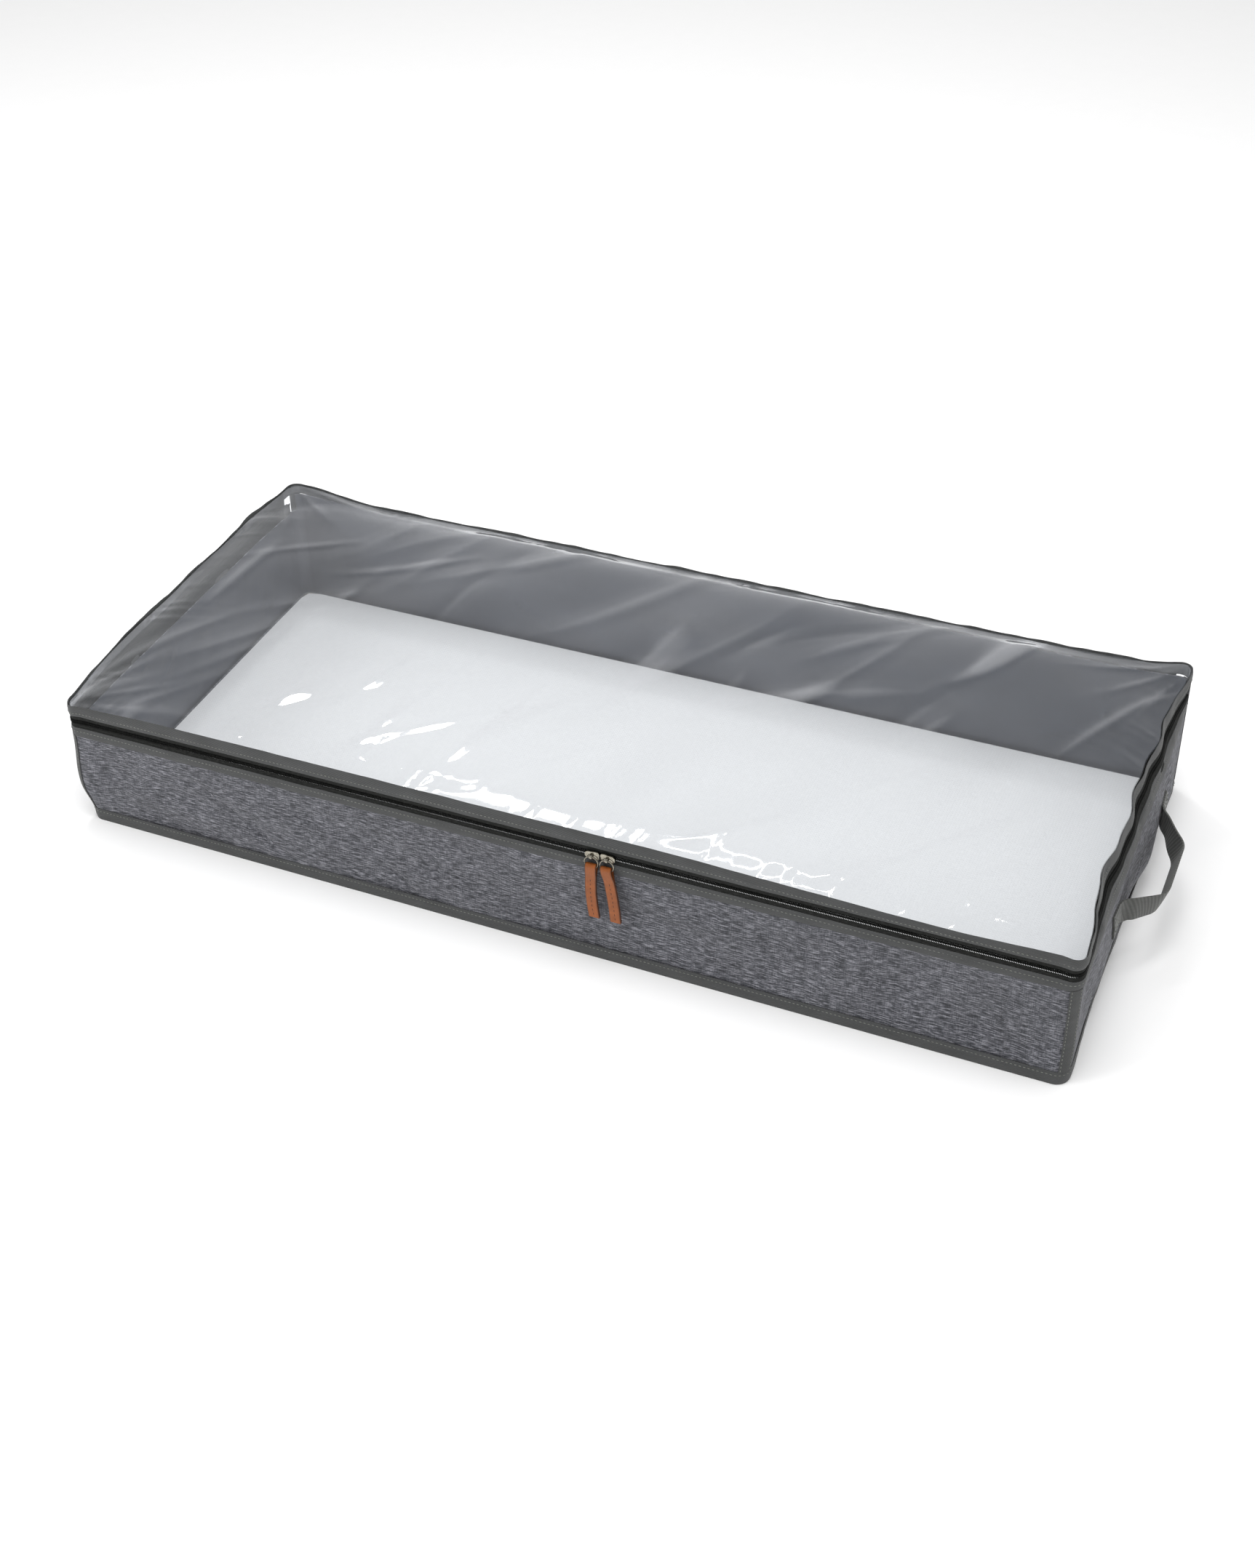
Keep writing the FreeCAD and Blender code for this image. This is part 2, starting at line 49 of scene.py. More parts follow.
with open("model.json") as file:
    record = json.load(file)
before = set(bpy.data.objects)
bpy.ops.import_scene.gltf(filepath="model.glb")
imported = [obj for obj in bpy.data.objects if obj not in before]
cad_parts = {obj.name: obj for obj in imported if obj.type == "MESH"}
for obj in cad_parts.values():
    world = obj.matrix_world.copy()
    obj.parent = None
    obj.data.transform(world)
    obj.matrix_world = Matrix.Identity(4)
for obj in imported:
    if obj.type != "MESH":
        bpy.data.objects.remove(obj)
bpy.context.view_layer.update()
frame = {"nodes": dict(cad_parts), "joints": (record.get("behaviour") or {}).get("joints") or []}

MM = 0.001
SIDES = ("left", "right")
FACING = {"front": (0, -1), "back": (0, 1), "left": (-1, 0), "right": (1, 0)}

# ---------------------------------------------------------------- places taken from the frame

base_low, base_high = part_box("base_edge_binding")
rim_low, rim_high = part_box("rim_tape")
lid_low, lid_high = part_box("lid_binding")
back_low, back_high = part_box("back_wall")
hinge_low, hinge_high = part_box("back_hinge_tape")
film_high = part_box("lid_film")[1]
lower_coil_low, lower_coil_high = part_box("zip_lower_coil")
upper_coil_low, upper_coil_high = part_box("zip_upper_coil")
corner_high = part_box("front_right_corner_binding")[1]

HALF_X = base_high[0]
HALF_Y = base_high[1]
CORNER_RADIUS = 14 * MM
TAPE = 1 * MM
FABRIC = 2 * MM
FLOOR_OF_WALLS = back_low[2]
WALL_TOP = corner_high[2]
SIDE_END = rim_high[1]
zip_middle = (lower_coil_high[2] + upper_coil_low[2]) / 2
pull_low, pull_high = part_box("left_leather_pull")
PULL_HALF_WIDTH = (pull_high[0] - pull_low[0]) / 2
JOINTS = {joint["name"]: joint for joint in frame["joints"]}
FILM_GRID = (300, 136)
FILM_FOLDS = 58


# ---------------------------------------------------------------- numbers that a user would change

def length_setting(name, description, default):
    """A setting that is a length."""
    return bpy.props.FloatProperty(name=name, description=description, default=default, unit="LENGTH")


def colour_setting(name, description, default):
    """A setting that is a colour as an sRGB hex value."""
    return bpy.props.StringProperty(name=name, description=description, default=default)


class BedBoxCloth(bpy.types.PropertyGroup):
    """Sizes of the soft pieces' unevenness and of their sewing"""

    wall_dent: length_setting("Wall dent", "How far a wall sinks in between its edges", 3.2 * MM)
    wall_waves: length_setting("Wall waves", "Height of the soft waves in a wall", 3.4 * MM)
    wall_creases: length_setting("Wall creases", "Depth of the short creases in a wall", 4.0 * MM)
    tape_waves: length_setting("Tape waves", "Height of the waves in the binding tape", 1.1 * MM)
    corner_tape: length_setting("Corner tape", "Width of the tape down each corner", 15 * MM)
    stitch_pitch: length_setting("Stitch pitch", "Distance from one stitch to the next", 3.9 * MM)
    stitch_length: length_setting(
        "Stitch length", "Length of thread that shows at each stitch", 2.6 * MM)


class BedBoxZip(bpy.types.PropertyGroup):
    """Sizes of the zip's coil"""

    pitch: length_setting("Coil pitch", "Distance from one turn of the coil to the next", 1.5 * MM)
    turn_width: length_setting("Turn width", "Thickness of one turn along the zip", 0.95 * MM)


class BedBoxFilm(bpy.types.PropertyGroup):
    """Shape of the clear film"""

    thickness: length_setting("Thickness", "Thickness of the film", 0.4 * MM)
    gathers: length_setting("Gathers", "Height of the gathers that run in from the sewn edge", 1.6 * MM)
    folds: length_setting("Folds", "Height of the straight folds with flat faces between them", 1.5 * MM)
    swells: length_setting("Swells", "Height of the broad swells over the whole film", 1.8 * MM)


class BedBoxColours(bpy.types.PropertyGroup):
    """Colours as sRGB hex values"""

    fabric_dark: colour_setting("Fabric dark", "Dark yarn of the heathered fabric", "#1f2126")
    fabric_middle: colour_setting("Fabric middle", "Main yarn of the heathered fabric", "#4b4c52")
    fabric_light: colour_setting("Fabric light", "Pale slubs of the heathered fabric", "#8d8d94")
    # The inner face's colour is partly its own dark grey and partly painted shade of the box's inside.
    back_colour_and_shade: colour_setting("Coating", "Coated inner face of the fabric", "#42464f")
    tape: colour_setting("Tape", "Binding tape", "#3f4040")
    thread: colour_setting("Thread", "Sewing thread on the tape", "#767872")
    leather: colour_setting("Leather", "Leather of the zip pulls", "#8a4a1b")
    webbing: colour_setting("Webbing", "Webbing of the handles", "#4d4e4b")
    lining: colour_setting("Lining", "Nonwoven lining on the base board", "#e4e3e2")


# ---------------------------------------------------------------- materials

def linear(hex_colour):
    """An sRGB hex value as linear colour with full alpha."""
    values = [int(hex_colour[i:i + 2], 16) / 255 for i in (1, 3, 5)]
    return (*[v / 12.92 if v <= 0.04045 else ((v + 0.055) / 1.055) ** 2.4 for v in values], 1.0)


def add(tree, kind, inputs=None, stops=(), **settings):
    """A new node with its settings. Its inputs are values, sockets, or nodes whose first output
    is linked, and stops are a ramp's places and colours."""
    made = tree.nodes.new(kind)
    for key, value in settings.items():
        setattr(made, key, value)
    for key, value in (inputs or {}).items():
        if isinstance(value, bpy.types.Node):
            value = value.outputs[0]
        if isinstance(value, bpy.types.NodeSocket):
            tree.links.new(value, made.inputs[key])
        else:
            made.inputs[key].default_value = value
    for index, (place, colour) in enumerate(stops):
        if index == len(made.color_ramp.elements):
            made.color_ramp.elements.new(place)
        made.color_ramp.elements[index].position = place
        made.color_ramp.elements[index].color = colour
    return made


def named_material(name):
    """Turns a function that fills a node tree into one that gives the named material, which is
    made the first time."""
    def wrap(fill):
        def get(*settings):
            found = bpy.data.materials.get(name)
            if found is None:
                found = bpy.data.materials.new(name)
                found.use_nodes = True
                found.node_tree.nodes.clear()
                fill(found.node_tree, *settings)
            return found
        return get
    return wrap


def close_material(tree, colour, roughness, height=None, bump=0.3, distance=MM, **fixed):
    """Ends a tree in one Principled shader, with a bump if there is a height."""
    inputs = {"Base Color": colour, "Roughness": roughness}
    if height is not None:
        inputs["Normal"] = add(tree, "ShaderNodeBump", {
            "Height": height, "Strength": bump, "Distance": distance})
    inputs.update({key.replace("_", " "): value for key, value in fixed.items()})
    shader = add(tree, "ShaderNodeBsdfPrincipled", inputs)
    add(tree, "ShaderNodeOutputMaterial", {"Surface": shader})


def cloth_place(tree, along, across):
    """The cloth's own coordinates, where one unit is this long along it and across it."""
    uv = add(tree, "ShaderNodeUVMap", uv_map="Cloth")
    return add(tree, "ShaderNodeMapping", {"Vector": uv, "Scale": (1 / along, 1 / across, 1)})


def ridges(pitch):
    """The unit in which a wave texture of scale 1 has its ridges one pitch apart."""
    return pitch * 20 / (2 * math.pi)


def tinted(tree, colour, factor, amount):
    """A colour made darker and lighter round its own value by a pattern."""
    shade = add(tree, "ShaderNodeMapRange", {"Value": factor, "To Min": 1 - amount, "To Max": 1 + amount})
    if isinstance(colour, tuple):
        colour = colour[:3]
    return add(tree, "ShaderNodeVectorMath", {0: colour, "Scale": shade}, operation="SCALE")


@named_material("heathered_woven_polyester")
def heathered_polyester(tree, colours):
    """Plain-woven melange polyester: dark and pale yarns mixed as spun, so the eye sees short
    streaks along the weft, fainter ones along the warp, and a matt surface."""
    slub = add(tree, "ShaderNodeTexNoise", {
        "Vector": cloth_place(tree, 12 * MM, 1.1 * MM), "Scale": 1.0, "Detail": 2.0, "Roughness": 0.6})
    weft = add(tree, "ShaderNodeTexNoise", {
        "Vector": cloth_place(tree, 6 * MM, 0.9 * MM), "Scale": 1.0, "Detail": 2.0, "Roughness": 0.6})
    warp = add(tree, "ShaderNodeTexNoise", {
        "Vector": cloth_place(tree, 1.0 * MM, 8 * MM), "Scale": 1.0, "Detail": 2.0, "Roughness": 0.6})
    cloud = add(tree, "ShaderNodeTexNoise", {
        "Vector": cloth_place(tree, 60 * MM, 28 * MM), "Scale": 1.0, "Detail": 3.0})
    streaks = add(tree, "ShaderNodeMath", {0: slub, 1: 0.5}, operation="MULTIPLY")
    streaks = add(tree, "ShaderNodeMath", {0: weft, 1: 0.34, 2: streaks}, operation="MULTIPLY_ADD")
    streaks = add(tree, "ShaderNodeMath", {0: warp, 1: 0.16, 2: streaks}, operation="MULTIPLY_ADD")
    yarn = add(tree, "ShaderNodeValToRGB", {0: streaks}, stops=(
        (0.4, linear(colours.fabric_dark)), (0.5, linear(colours.fabric_middle)),
        (0.61, linear(colours.fabric_light))))
    colour = tinted(tree, yarn, cloud, 0.3)
    # Real threads are about 0.4 mm apart. They are drawn 1.1 mm apart so that they show.
    threads = cloth_place(tree, ridges(1.1 * MM), ridges(1.1 * MM))
    upright = add(tree, "ShaderNodeTexWave", {"Vector": threads, "Scale": 1.0}, bands_direction="X")
    level = add(tree, "ShaderNodeTexWave", {"Vector": threads, "Scale": 1.0}, bands_direction="Y")
    weave = add(tree, "ShaderNodeMath", {0: upright, 1: level}, operation="MULTIPLY")
    height = add(tree, "ShaderNodeMath", {0: streaks, 1: 2.5, 2: weave}, operation="MULTIPLY_ADD")
    close_material(tree, colour, 0.92, height, bump=0.4, distance=0.35 * MM,
                   Sheen_Weight=0.12, Sheen_Roughness=0.6)


@named_material("coated_polyester_back")
def inner_face_with_painted_shade(tree, colours):
    """The inner face of the wall fabric: a smooth slate grey with a dull shine. Its dark grey is
    partly the face's own colour and partly painted shade of the box's inside."""
    blotch = add(tree, "ShaderNodeTexNoise", {
        "Vector": cloth_place(tree, 50 * MM, 30 * MM), "Scale": 1.0, "Detail": 3.0})
    grain = add(tree, "ShaderNodeTexNoise", {
        "Vector": cloth_place(tree, 1.6 * MM, 1.2 * MM), "Scale": 1.0, "Detail": 2.0})
    # The base colour is partly the inner face's own grey and partly painted shade of the box's inside.
    colour = tinted(tree, linear(colours.back_colour_and_shade), blotch, 0.25)
    close_material(tree, colour, 0.55, grain, bump=0.3, distance=0.25 * MM)


@named_material("polyester_twill_tape")
def twill_tape(tree, colours):
    """Woven polyester binding tape: a fine diagonal twill with a soft dull shine."""
    uv = add(tree, "ShaderNodeUVMap", uv_map="Cloth")
    # Real twill lines are about 0.7 mm apart. They are drawn 1.5 mm apart so that they show.
    twist = add(tree, "ShaderNodeMapping", {
        "Vector": uv, "Rotation": (0, 0, math.radians(58)), "Scale": (1 / ridges(1.5 * MM),) * 3})
    twill = add(tree, "ShaderNodeTexWave", {"Vector": twist, "Scale": 1.0}, bands_direction="X")
    fade = add(tree, "ShaderNodeTexNoise", {
        "Vector": cloth_place(tree, 30 * MM, 9 * MM), "Scale": 1.0, "Detail": 3.0})
    colour = tinted(tree, linear(colours.tape), fade, 0.35)
    colour = tinted(tree, colour, twill, 0.16)
    close_material(tree, colour, 0.75, twill, bump=0.4, distance=0.3 * MM,
                   Sheen_Weight=0.1, Sheen_Roughness=0.5)


@named_material("knitted_black_zip_tape")
def zip_tape_cloth(tree):
    """Knitted black zip tape: close ribs along its length, and a little pale dust."""
    ribs = add(tree, "ShaderNodeTexWave", {
        "Vector": cloth_place(tree, 1, ridges(1.1 * MM)), "Scale": 1.0}, bands_direction="Y")
    dust = add(tree, "ShaderNodeTexNoise", {
        "Vector": cloth_place(tree, 4 * MM, 1.5 * MM), "Scale": 1.0, "Detail": 2.0})
    colour = add(tree, "ShaderNodeValToRGB", {0: dust}, stops=(
        (0.3, linear("#121312")), (0.75, linear("#292a28"))))
    close_material(tree, colour, 0.9, ribs, bump=0.4, distance=0.3 * MM, Specular_IOR_Level=0.25)


@named_material("black_woven_tab")
def black_woven_tab(tree):
    """Woven black tab: a close grid of threads, on the piece's own place in the box."""
    place = add(tree, "ShaderNodeTexCoord").outputs["Object"]
    grid = add(tree, "ShaderNodeMapping", {"Vector": place, "Scale": (1 / ridges(1.2 * MM),) * 3})
    level = add(tree, "ShaderNodeTexWave", {"Vector": grid, "Scale": 1.0}, bands_direction="Y")
    upright = add(tree, "ShaderNodeTexWave", {"Vector": grid, "Scale": 1.0}, bands_direction="Z")
    weave = add(tree, "ShaderNodeMath", {0: level, 1: upright}, operation="MULTIPLY")
    colour = add(tree, "ShaderNodeValToRGB", {0: weave}, stops=(
        (0.0, linear("#171817")), (1.0, linear("#2e2f2d"))))
    close_material(tree, colour, 0.85, weave, bump=0.3, distance=0.3 * MM)


@named_material("black_nylon_coil")
def nylon_coil(tree):
    """Extruded black nylon monofilament: smooth, with a dull shine on each turn."""
    place = add(tree, "ShaderNodeTexCoord").outputs["Object"]
    grime = add(tree, "ShaderNodeTexNoise", {"Vector": place, "Scale": 1 / (5.5 * MM), "Detail": 2.0})
    colour = add(tree, "ShaderNodeValToRGB", {0: grime}, stops=(
        (0.3, linear("#0b0c0b")), (0.8, linear("#1c1d1b"))))
    close_material(tree, colour, 0.6, IOR=1.53, Specular_IOR_Level=0.15)


@named_material("spun_polyester_thread")
def sewing_thread(tree, colours):
    """Spun polyester thread, paler than the tape it sits in."""
    place = add(tree, "ShaderNodeTexCoord").outputs["Object"]
    fade = add(tree, "ShaderNodeTexNoise", {"Vector": place, "Scale": 1 / (17 * MM), "Detail": 2.0})
    close_material(tree, tinted(tree, linear(colours.thread), fade, 0.35), 0.75)


@named_material("waxed_brown_thread")
def waxed_thread(tree):
    """Waxed brown thread sunk into leather: a little darker than the leather, with some shine."""
    place = add(tree, "ShaderNodeTexCoord").outputs["Object"]
    fade = add(tree, "ShaderNodeTexNoise", {"Vector": place, "Scale": 1 / (3.3 * MM), "Detail": 2.0})
    close_material(tree, tinted(tree, linear("#43210f"), fade, 0.3), 0.6)


@named_material("clear_pvc_film")
def clear_film(tree):
    """Calendered soft PVC film: clear, glossy on both faces, and seen mostly by what it
    mirrors. It turns slightly milky where a crease has stretched it."""
    place = add(tree, "ShaderNodeTexCoord").outputs["Object"]
    ripple = add(tree, "ShaderNodeTexNoise", {
        "Vector": place, "Scale": 1 / (90 * MM), "Detail": 2.0, "Roughness": 0.5})
    wave = add(tree, "ShaderNodeBump", {"Height": ripple, "Strength": 0.12, "Distance": 4 * MM})
    facing = add(tree, "ShaderNodeLayerWeight", {"Blend": 0.5, "Normal": wave}).outputs["Facing"]
    grazing = add(tree, "ShaderNodeMath", {0: facing, 1: 4.0}, operation="POWER")
    crease = add(tree, "ShaderNodeAttribute", attribute_name="crease").outputs["Fac"]
    milky = add(tree, "ShaderNodeMath", {0: crease, 1: 0.16, 2: 0.04}, operation="MULTIPLY_ADD")
    share = add(tree, "ShaderNodeMath", {0: grazing, 1: 0.9, 2: milky}, operation="MULTIPLY_ADD")
    through = add(tree, "ShaderNodeBsdfTransparent", {"Color": linear("#fbfcfd")})
    gloss = add(tree, "ShaderNodeBsdfPrincipled", {
        "Base Color": linear("#f4f5f8"), "Metallic": 0.75, "Roughness": 0.05, "Normal": wave})
    mixed = add(tree, "ShaderNodeMixShader", {0: share, 1: through, 2: gloss})
    add(tree, "ShaderNodeOutputMaterial", {"Surface": mixed})


@named_material("nickel_plated_zinc")
def nickel_plate(tree):
    """Nickel-plated die-cast zinc: a warm mirror dulled by fine handling marks."""
    place = add(tree, "ShaderNodeTexCoord").outputs["Object"]
    marks = add(tree, "ShaderNodeTexNoise", {"Vector": place, "Scale": 1 / (1.1 * MM), "Detail": 3.0})
    colour = add(tree, "ShaderNodeValToRGB", {0: marks}, stops=(
        (0.3, linear("#7f7a6e")), (0.7, linear("#b9b4a6"))))
    rough = add(tree, "ShaderNodeMapRange", {"Value": marks, "To Min": 0.2, "To Max": 0.38})
    close_material(tree, colour, rough, marks, bump=0.12, distance=0.1 * MM, Metallic=1.0)


@named_material("tan_vegetable_leather")
def tan_leather(tree, colours):
    """Vegetable-tanned leather strip: tan with fine pores and darker mottling, a satin
    finish, and cut edges burnished dark."""
    place = add(tree, "ShaderNodeTexCoord").outputs["Object"]
    mottle = add(tree, "ShaderNodeTexNoise", {
        "Vector": place, "Scale": 1 / (8 * MM), "Detail": 4.0, "Roughness": 0.6})
    pores = add(tree, "ShaderNodeTexVoronoi", {"Vector": place, "Scale": 1 / (0.9 * MM)})
    across = add(tree, "ShaderNodeSeparateXYZ", {0: cloth_place(tree, 1, PULL_HALF_WIDTH)}).outputs[1]
    from_middle = add(tree, "ShaderNodeMath", {0: across}, operation="ABSOLUTE")
    burnish = add(tree, "ShaderNodeValToRGB", {0: from_middle}, stops=(
        (0.78, (1.0, 1.0, 1.0, 1.0)), (1.0, (0.35, 0.35, 0.35, 1.0))))
    colour = tinted(tree, linear(colours.leather), mottle, 0.45)
    colour = add(tree, "ShaderNodeVectorMath", {0: colour, 1: burnish}, operation="MULTIPLY")
    height = add(tree, "ShaderNodeMath", {0: mottle, 1: 2.0, 2: pores}, operation="MULTIPLY_ADD")
    close_material(tree, colour, 0.55, height, bump=0.3, distance=0.25 * MM, IOR=1.5)


@named_material("ribbed_polypropylene_webbing")
def ribbed_webbing(tree, colours):
    """Flat polypropylene webbing: fine ribs slanting across it, slightly shiny."""
    ribs = add(tree, "ShaderNodeTexWave", {
        "Vector": cloth_place(tree, ridges(1.9 * MM), ridges(5.4 * MM)), "Scale": 1.0},
        bands_direction="DIAGONAL")
    fade = add(tree, "ShaderNodeTexNoise", {
        "Vector": cloth_place(tree, 12 * MM, 3 * MM), "Scale": 1.0, "Detail": 3.0})
    colour = tinted(tree, linear(colours.webbing), fade, 0.25)
    colour = tinted(tree, colour, ribs, 0.2)
    close_material(tree, colour, 0.62, ribs, bump=0.5, distance=0.5 * MM, Sheen_Weight=0.15)


@named_material("spunbonded_lining")
def nonwoven_lining(tree, colours):
    """Spunbonded polypropylene: pale felt with a grid of small heat-pressed dots."""
    dots = add(tree, "ShaderNodeTexVoronoi", {
        "Vector": cloth_place(tree, 3 * MM, 3 * MM), "Scale": 1.0, "Randomness": 0.0})
    pressed = add(tree, "ShaderNodeValToRGB", {0: dots}, stops=(
        (0.12, (0.0, 0.0, 0.0, 1.0)), (0.3, (1.0, 1.0, 1.0, 1.0))))
    fibres = add(tree, "ShaderNodeTexNoise", {
        "Vector": cloth_place(tree, 4 * MM, 4 * MM), "Scale": 1.0, "Detail": 4.0, "Roughness": 0.65})
    colour = tinted(tree, linear(colours.lining), fibres, 0.07)
    height = add(tree, "ShaderNodeMath", {0: fibres, 1: 0.8, 2: pressed}, operation="MULTIPLY_ADD")
    close_material(tree, colour, 0.9, height, bump=0.4, distance=0.3 * MM)


@named_material("pressed_grey_board")
def grey_board(tree):
    """Pressed grey board: dull, with flecks of pulp."""
    place = add(tree, "ShaderNodeTexCoord").outputs["Object"]
    pulp = add(tree, "ShaderNodeTexNoise", {
        "Vector": place, "Scale": 1 / (4 * MM), "Detail": 4.0, "Roughness": 0.7})
    colour = add(tree, "ShaderNodeValToRGB", {0: pulp}, stops=(
        (0.3, linear("#7d776c")), (0.7, linear("#a49c8d"))))
    close_material(tree, colour, 0.95, pulp, bump=0.2, distance=0.2 * MM)


@named_material("white_paper_sweep")
def paper_sweep(tree):
    """White studio paper: matt and even, with a very faint grain."""
    place = add(tree, "ShaderNodeTexCoord").outputs["Object"]
    grain = add(tree, "ShaderNodeTexNoise", {"Vector": place, "Scale": 1 / (30 * MM), "Detail": 3.0})
    close_material(tree, tinted(tree, linear("#fbfbfb"), grain, 0.01), 0.9)


# ---------------------------------------------------------------- shapes

def waves(place, seed, longest, period=None, octaves=5):
    """Smooth repeatable unevenness along a length, between about -1 and 1. With a period it
    closes on itself round a ring."""
    random = np.random.default_rng(seed)
    total = np.zeros_like(place, dtype=float)
    weight = 0.0
    for octave in range(octaves):
        length = longest / 1.7 ** octave
        if period is not None:
            length = period / max(1, round(period / length))
        strength = 0.75 ** octave
        total += strength * np.sin(2 * math.pi * (place / length + random.random()))
        weight += strength
    return total / weight * 1.6


def waves_over(across, along, seed, longest, octaves=5):
    """Smooth repeatable unevenness over a surface, between about -1 and 1."""
    random = np.random.default_rng(seed)
    total = np.zeros(np.broadcast(across, along).shape)
    weight = 0.0
    for octave in range(octaves):
        length = longest / 1.6 ** octave
        angle = random.random() * math.pi
        turned = across * math.cos(angle) + along * math.sin(angle)
        crossed = along * math.cos(angle) - across * math.sin(angle)
        strength = 0.75 ** octave
        total += strength * np.sin(2 * math.pi * (turned / length + random.random())) * np.cos(
            2 * math.pi * (crossed / length / 1.3 + random.random()))
        weight += strength
    return total / weight * 2.0


def new_object(name, data):
    """An object of this data, in the scene."""
    made = bpy.data.objects.new(name, data)
    bpy.context.scene.collection.objects.link(made)
    return made


def finish_mesh(name, vertices, faces, material, uvs=None, sharp_angle=50.0, second=None):
    """A smooth-shaded object at the origin whose faces point outwards. second is a material
    and the faces that have it."""
    mesh = bpy.data.meshes.new(name)
    mesh.from_pydata([tuple(v) for v in vertices], [], faces)
    if uvs is not None:
        layer = mesh.uv_layers.new(name="Cloth")
        loops = np.zeros(len(mesh.loops), dtype=np.int32)
        mesh.loops.foreach_get("vertex_index", loops)
        layer.data.foreach_set("uv", np.asarray(uvs, dtype=np.float32)[loops].ravel())
    build = bmesh.new()
    build.from_mesh(mesh)
    bmesh.ops.recalc_face_normals(build, faces=build.faces)
    build.to_mesh(mesh)
    build.free()
    mesh.polygons.foreach_set("use_smooth", np.ones(len(mesh.polygons), dtype=bool))
    mesh.set_sharp_from_angle(angle=math.radians(sharp_angle))
    mesh.materials.append(material)
    if second is not None:
        mesh.materials.append(second[0])
        mesh.polygons.foreach_set("material_index", np.asarray(second[1], dtype=np.int32))
    piece = new_object(name, mesh)
    return piece


def shell(name, outer, inner, material, place, closed=False, backing=None):
    """A sheet with two faces and a rim, from two grids of points. place is a grid of where
    each point lies on the flat cloth, in metres. backing is another material for the inner
    face."""
    rows, columns = outer.shape[:2]
    count = rows * columns
    vertices = np.concatenate([outer.reshape(-1, 3), inner.reshape(-1, 3)])
    uvs = np.concatenate([place.reshape(-1, 2)] * 2)
    faces, inner_faces = [], []
    last = rows if closed else rows - 1
    for i in range(last):
        here, after = i * columns, (i + 1) % rows * columns
        for j in range(columns - 1):
            quad = (here + j, after + j, after + j + 1, here + j + 1)
            faces.append(quad)
            inner_faces.append(tuple(count + corner for corner in reversed(quad)))
        for j in (0, columns - 1):
            faces.append((here + j, after + j, count + after + j, count + here + j))
    if not closed:
        for i in (0, (rows - 1) * columns):
            for j in range(columns - 1):
                faces.append((i + j, i + j + 1, count + i + j + 1, count + i + j))
    second = None
    if backing is not None:
        second = (backing, [0] * len(faces) + [1] * len(inner_faces))
    return finish_mesh(name, vertices, faces + inner_faces, material, uvs, second=second)


def tube(name, path, radius, material, sides=10, closed=False, frame_up=(0, 0, 1)):
    """A round wire along a path."""
    path = np.asarray(path, dtype=float)
    count = len(path)
    if closed:
        tangents = np.roll(path, -1, axis=0) - np.roll(path, 1, axis=0)
    else:
        tangents = np.gradient(path, axis=0)
    tangents /= np.linalg.norm(tangents, axis=1)[:, None]
    side = np.cross(tangents, np.asarray(frame_up, dtype=float))
    side /= np.linalg.norm(side, axis=1)[:, None]
    other = np.cross(side, tangents)
    turns = np.linspace(0, 2 * math.pi, sides, endpoint=False)
    rings = (path[:, None] + radius * (np.cos(turns)[None, :, None] * side[:, None]
                                       + np.sin(turns)[None, :, None] * other[:, None]))
    faces = []
    for i in range(count if closed else count - 1):
        here, after = i * sides, (i + 1) % count * sides
        for j in range(sides):
            k = (j + 1) % sides
            faces.append((here + j, here + k, after + k, after + j))
    if not closed:
        faces.append(tuple(range(sides)))
        faces.append(tuple(range((count - 1) * sides, count * sides)))
    return finish_mesh(name, rings.reshape(-1, 3), faces, material)


def smooth(value, start, end):
    """0 before start, 1 after end, and an even rise between them."""
    share = np.clip((value - start) / (end - start), 0, 1)
    return share * share * (3 - 2 * share)


def near(value, place, reach):
    """1 at a place, fading to nothing a few reaches away."""
    return np.exp(-((value - place) / reach) ** 2)


def slump(points):
    """Where points of a perfectly stiff box lie on the soft one. The front between the zip's
    ends stays put from the pulls' tips up, because the sliders and the pulls pass it."""
    x, y, z = (points[..., axis] for axis in range(3))
    front, back, end = near(y, -HALF_Y, 30 * MM), near(y, HALF_Y, 30 * MM), near(np.abs(x), HALF_X, 40 * MM)
    inside_end = smooth(HALF_Y - np.abs(y), 6 * MM, 100 * MM)
    inside_back = smooth(HALF_X - np.abs(x), 8 * MM, 120 * MM)
    foot = 1 - smooth(z, 6 * MM, 44 * MM)
    belly = near(z, 0.43 * lid_high[2], 40 * MM)
    brim = smooth(z, 0.68 * lid_high[2], lid_high[2])
    hem = smooth(z, zip_middle, lid_high[2])
    moved = points.copy()

    right_lean = -10 * MM * brim * (1 + 0.25 * np.sin(y / (22 * MM)) + 0.12 * np.sin(y / (9 * MM)))
    right_belly = 9 * MM * belly * (0.4 + 0.6 * smooth(y, -0.5 * HALF_Y, 0.5 * HALF_Y)) - 4 * MM * foot
    left_belly = -5 * MM * belly - 6 * MM * brim * (1 + 0.12 * np.sin(y / (19 * MM)))
    moved[..., 0] += end * inside_end * np.where(x > 0, right_lean + right_belly, left_belly)

    left_corner = near(x, -HALF_X, 22 * MM) * near(y, -HALF_Y, 26 * MM)
    moved[..., 0] += left_corner * (4.5 * MM * foot - 4 * MM * near(z, 55 * MM, 28 * MM))
    moved[..., 1] += front * foot * (-9.5 * MM) * x / (2 * HALF_X)
    moved[..., 1] -= back * inside_back * 3 * MM * hem

    corner = smooth(np.abs(x), 0.958 * HALF_X, HALF_X)
    moved[..., 2] -= 4 * MM * brim * corner * near(y, -HALF_Y, 45 * MM)
    moved[..., 2] += 7 * MM * hem * smooth(x, 0.91 * HALF_X, HALF_X) * near(y, HALF_Y, 32 * MM)
    moved[..., 2] -= 8 * MM * hem * back * inside_back * (0.55 - 0.45 * x / HALF_X)
    crest = smooth(z, lid_low[2], lid_high[2])
    moved[..., 2] += 3 * MM * crest * front * inside_back * (1 - 2 * smooth(x, 0.2 * HALF_X, 0.8 * HALF_X))
    return moved


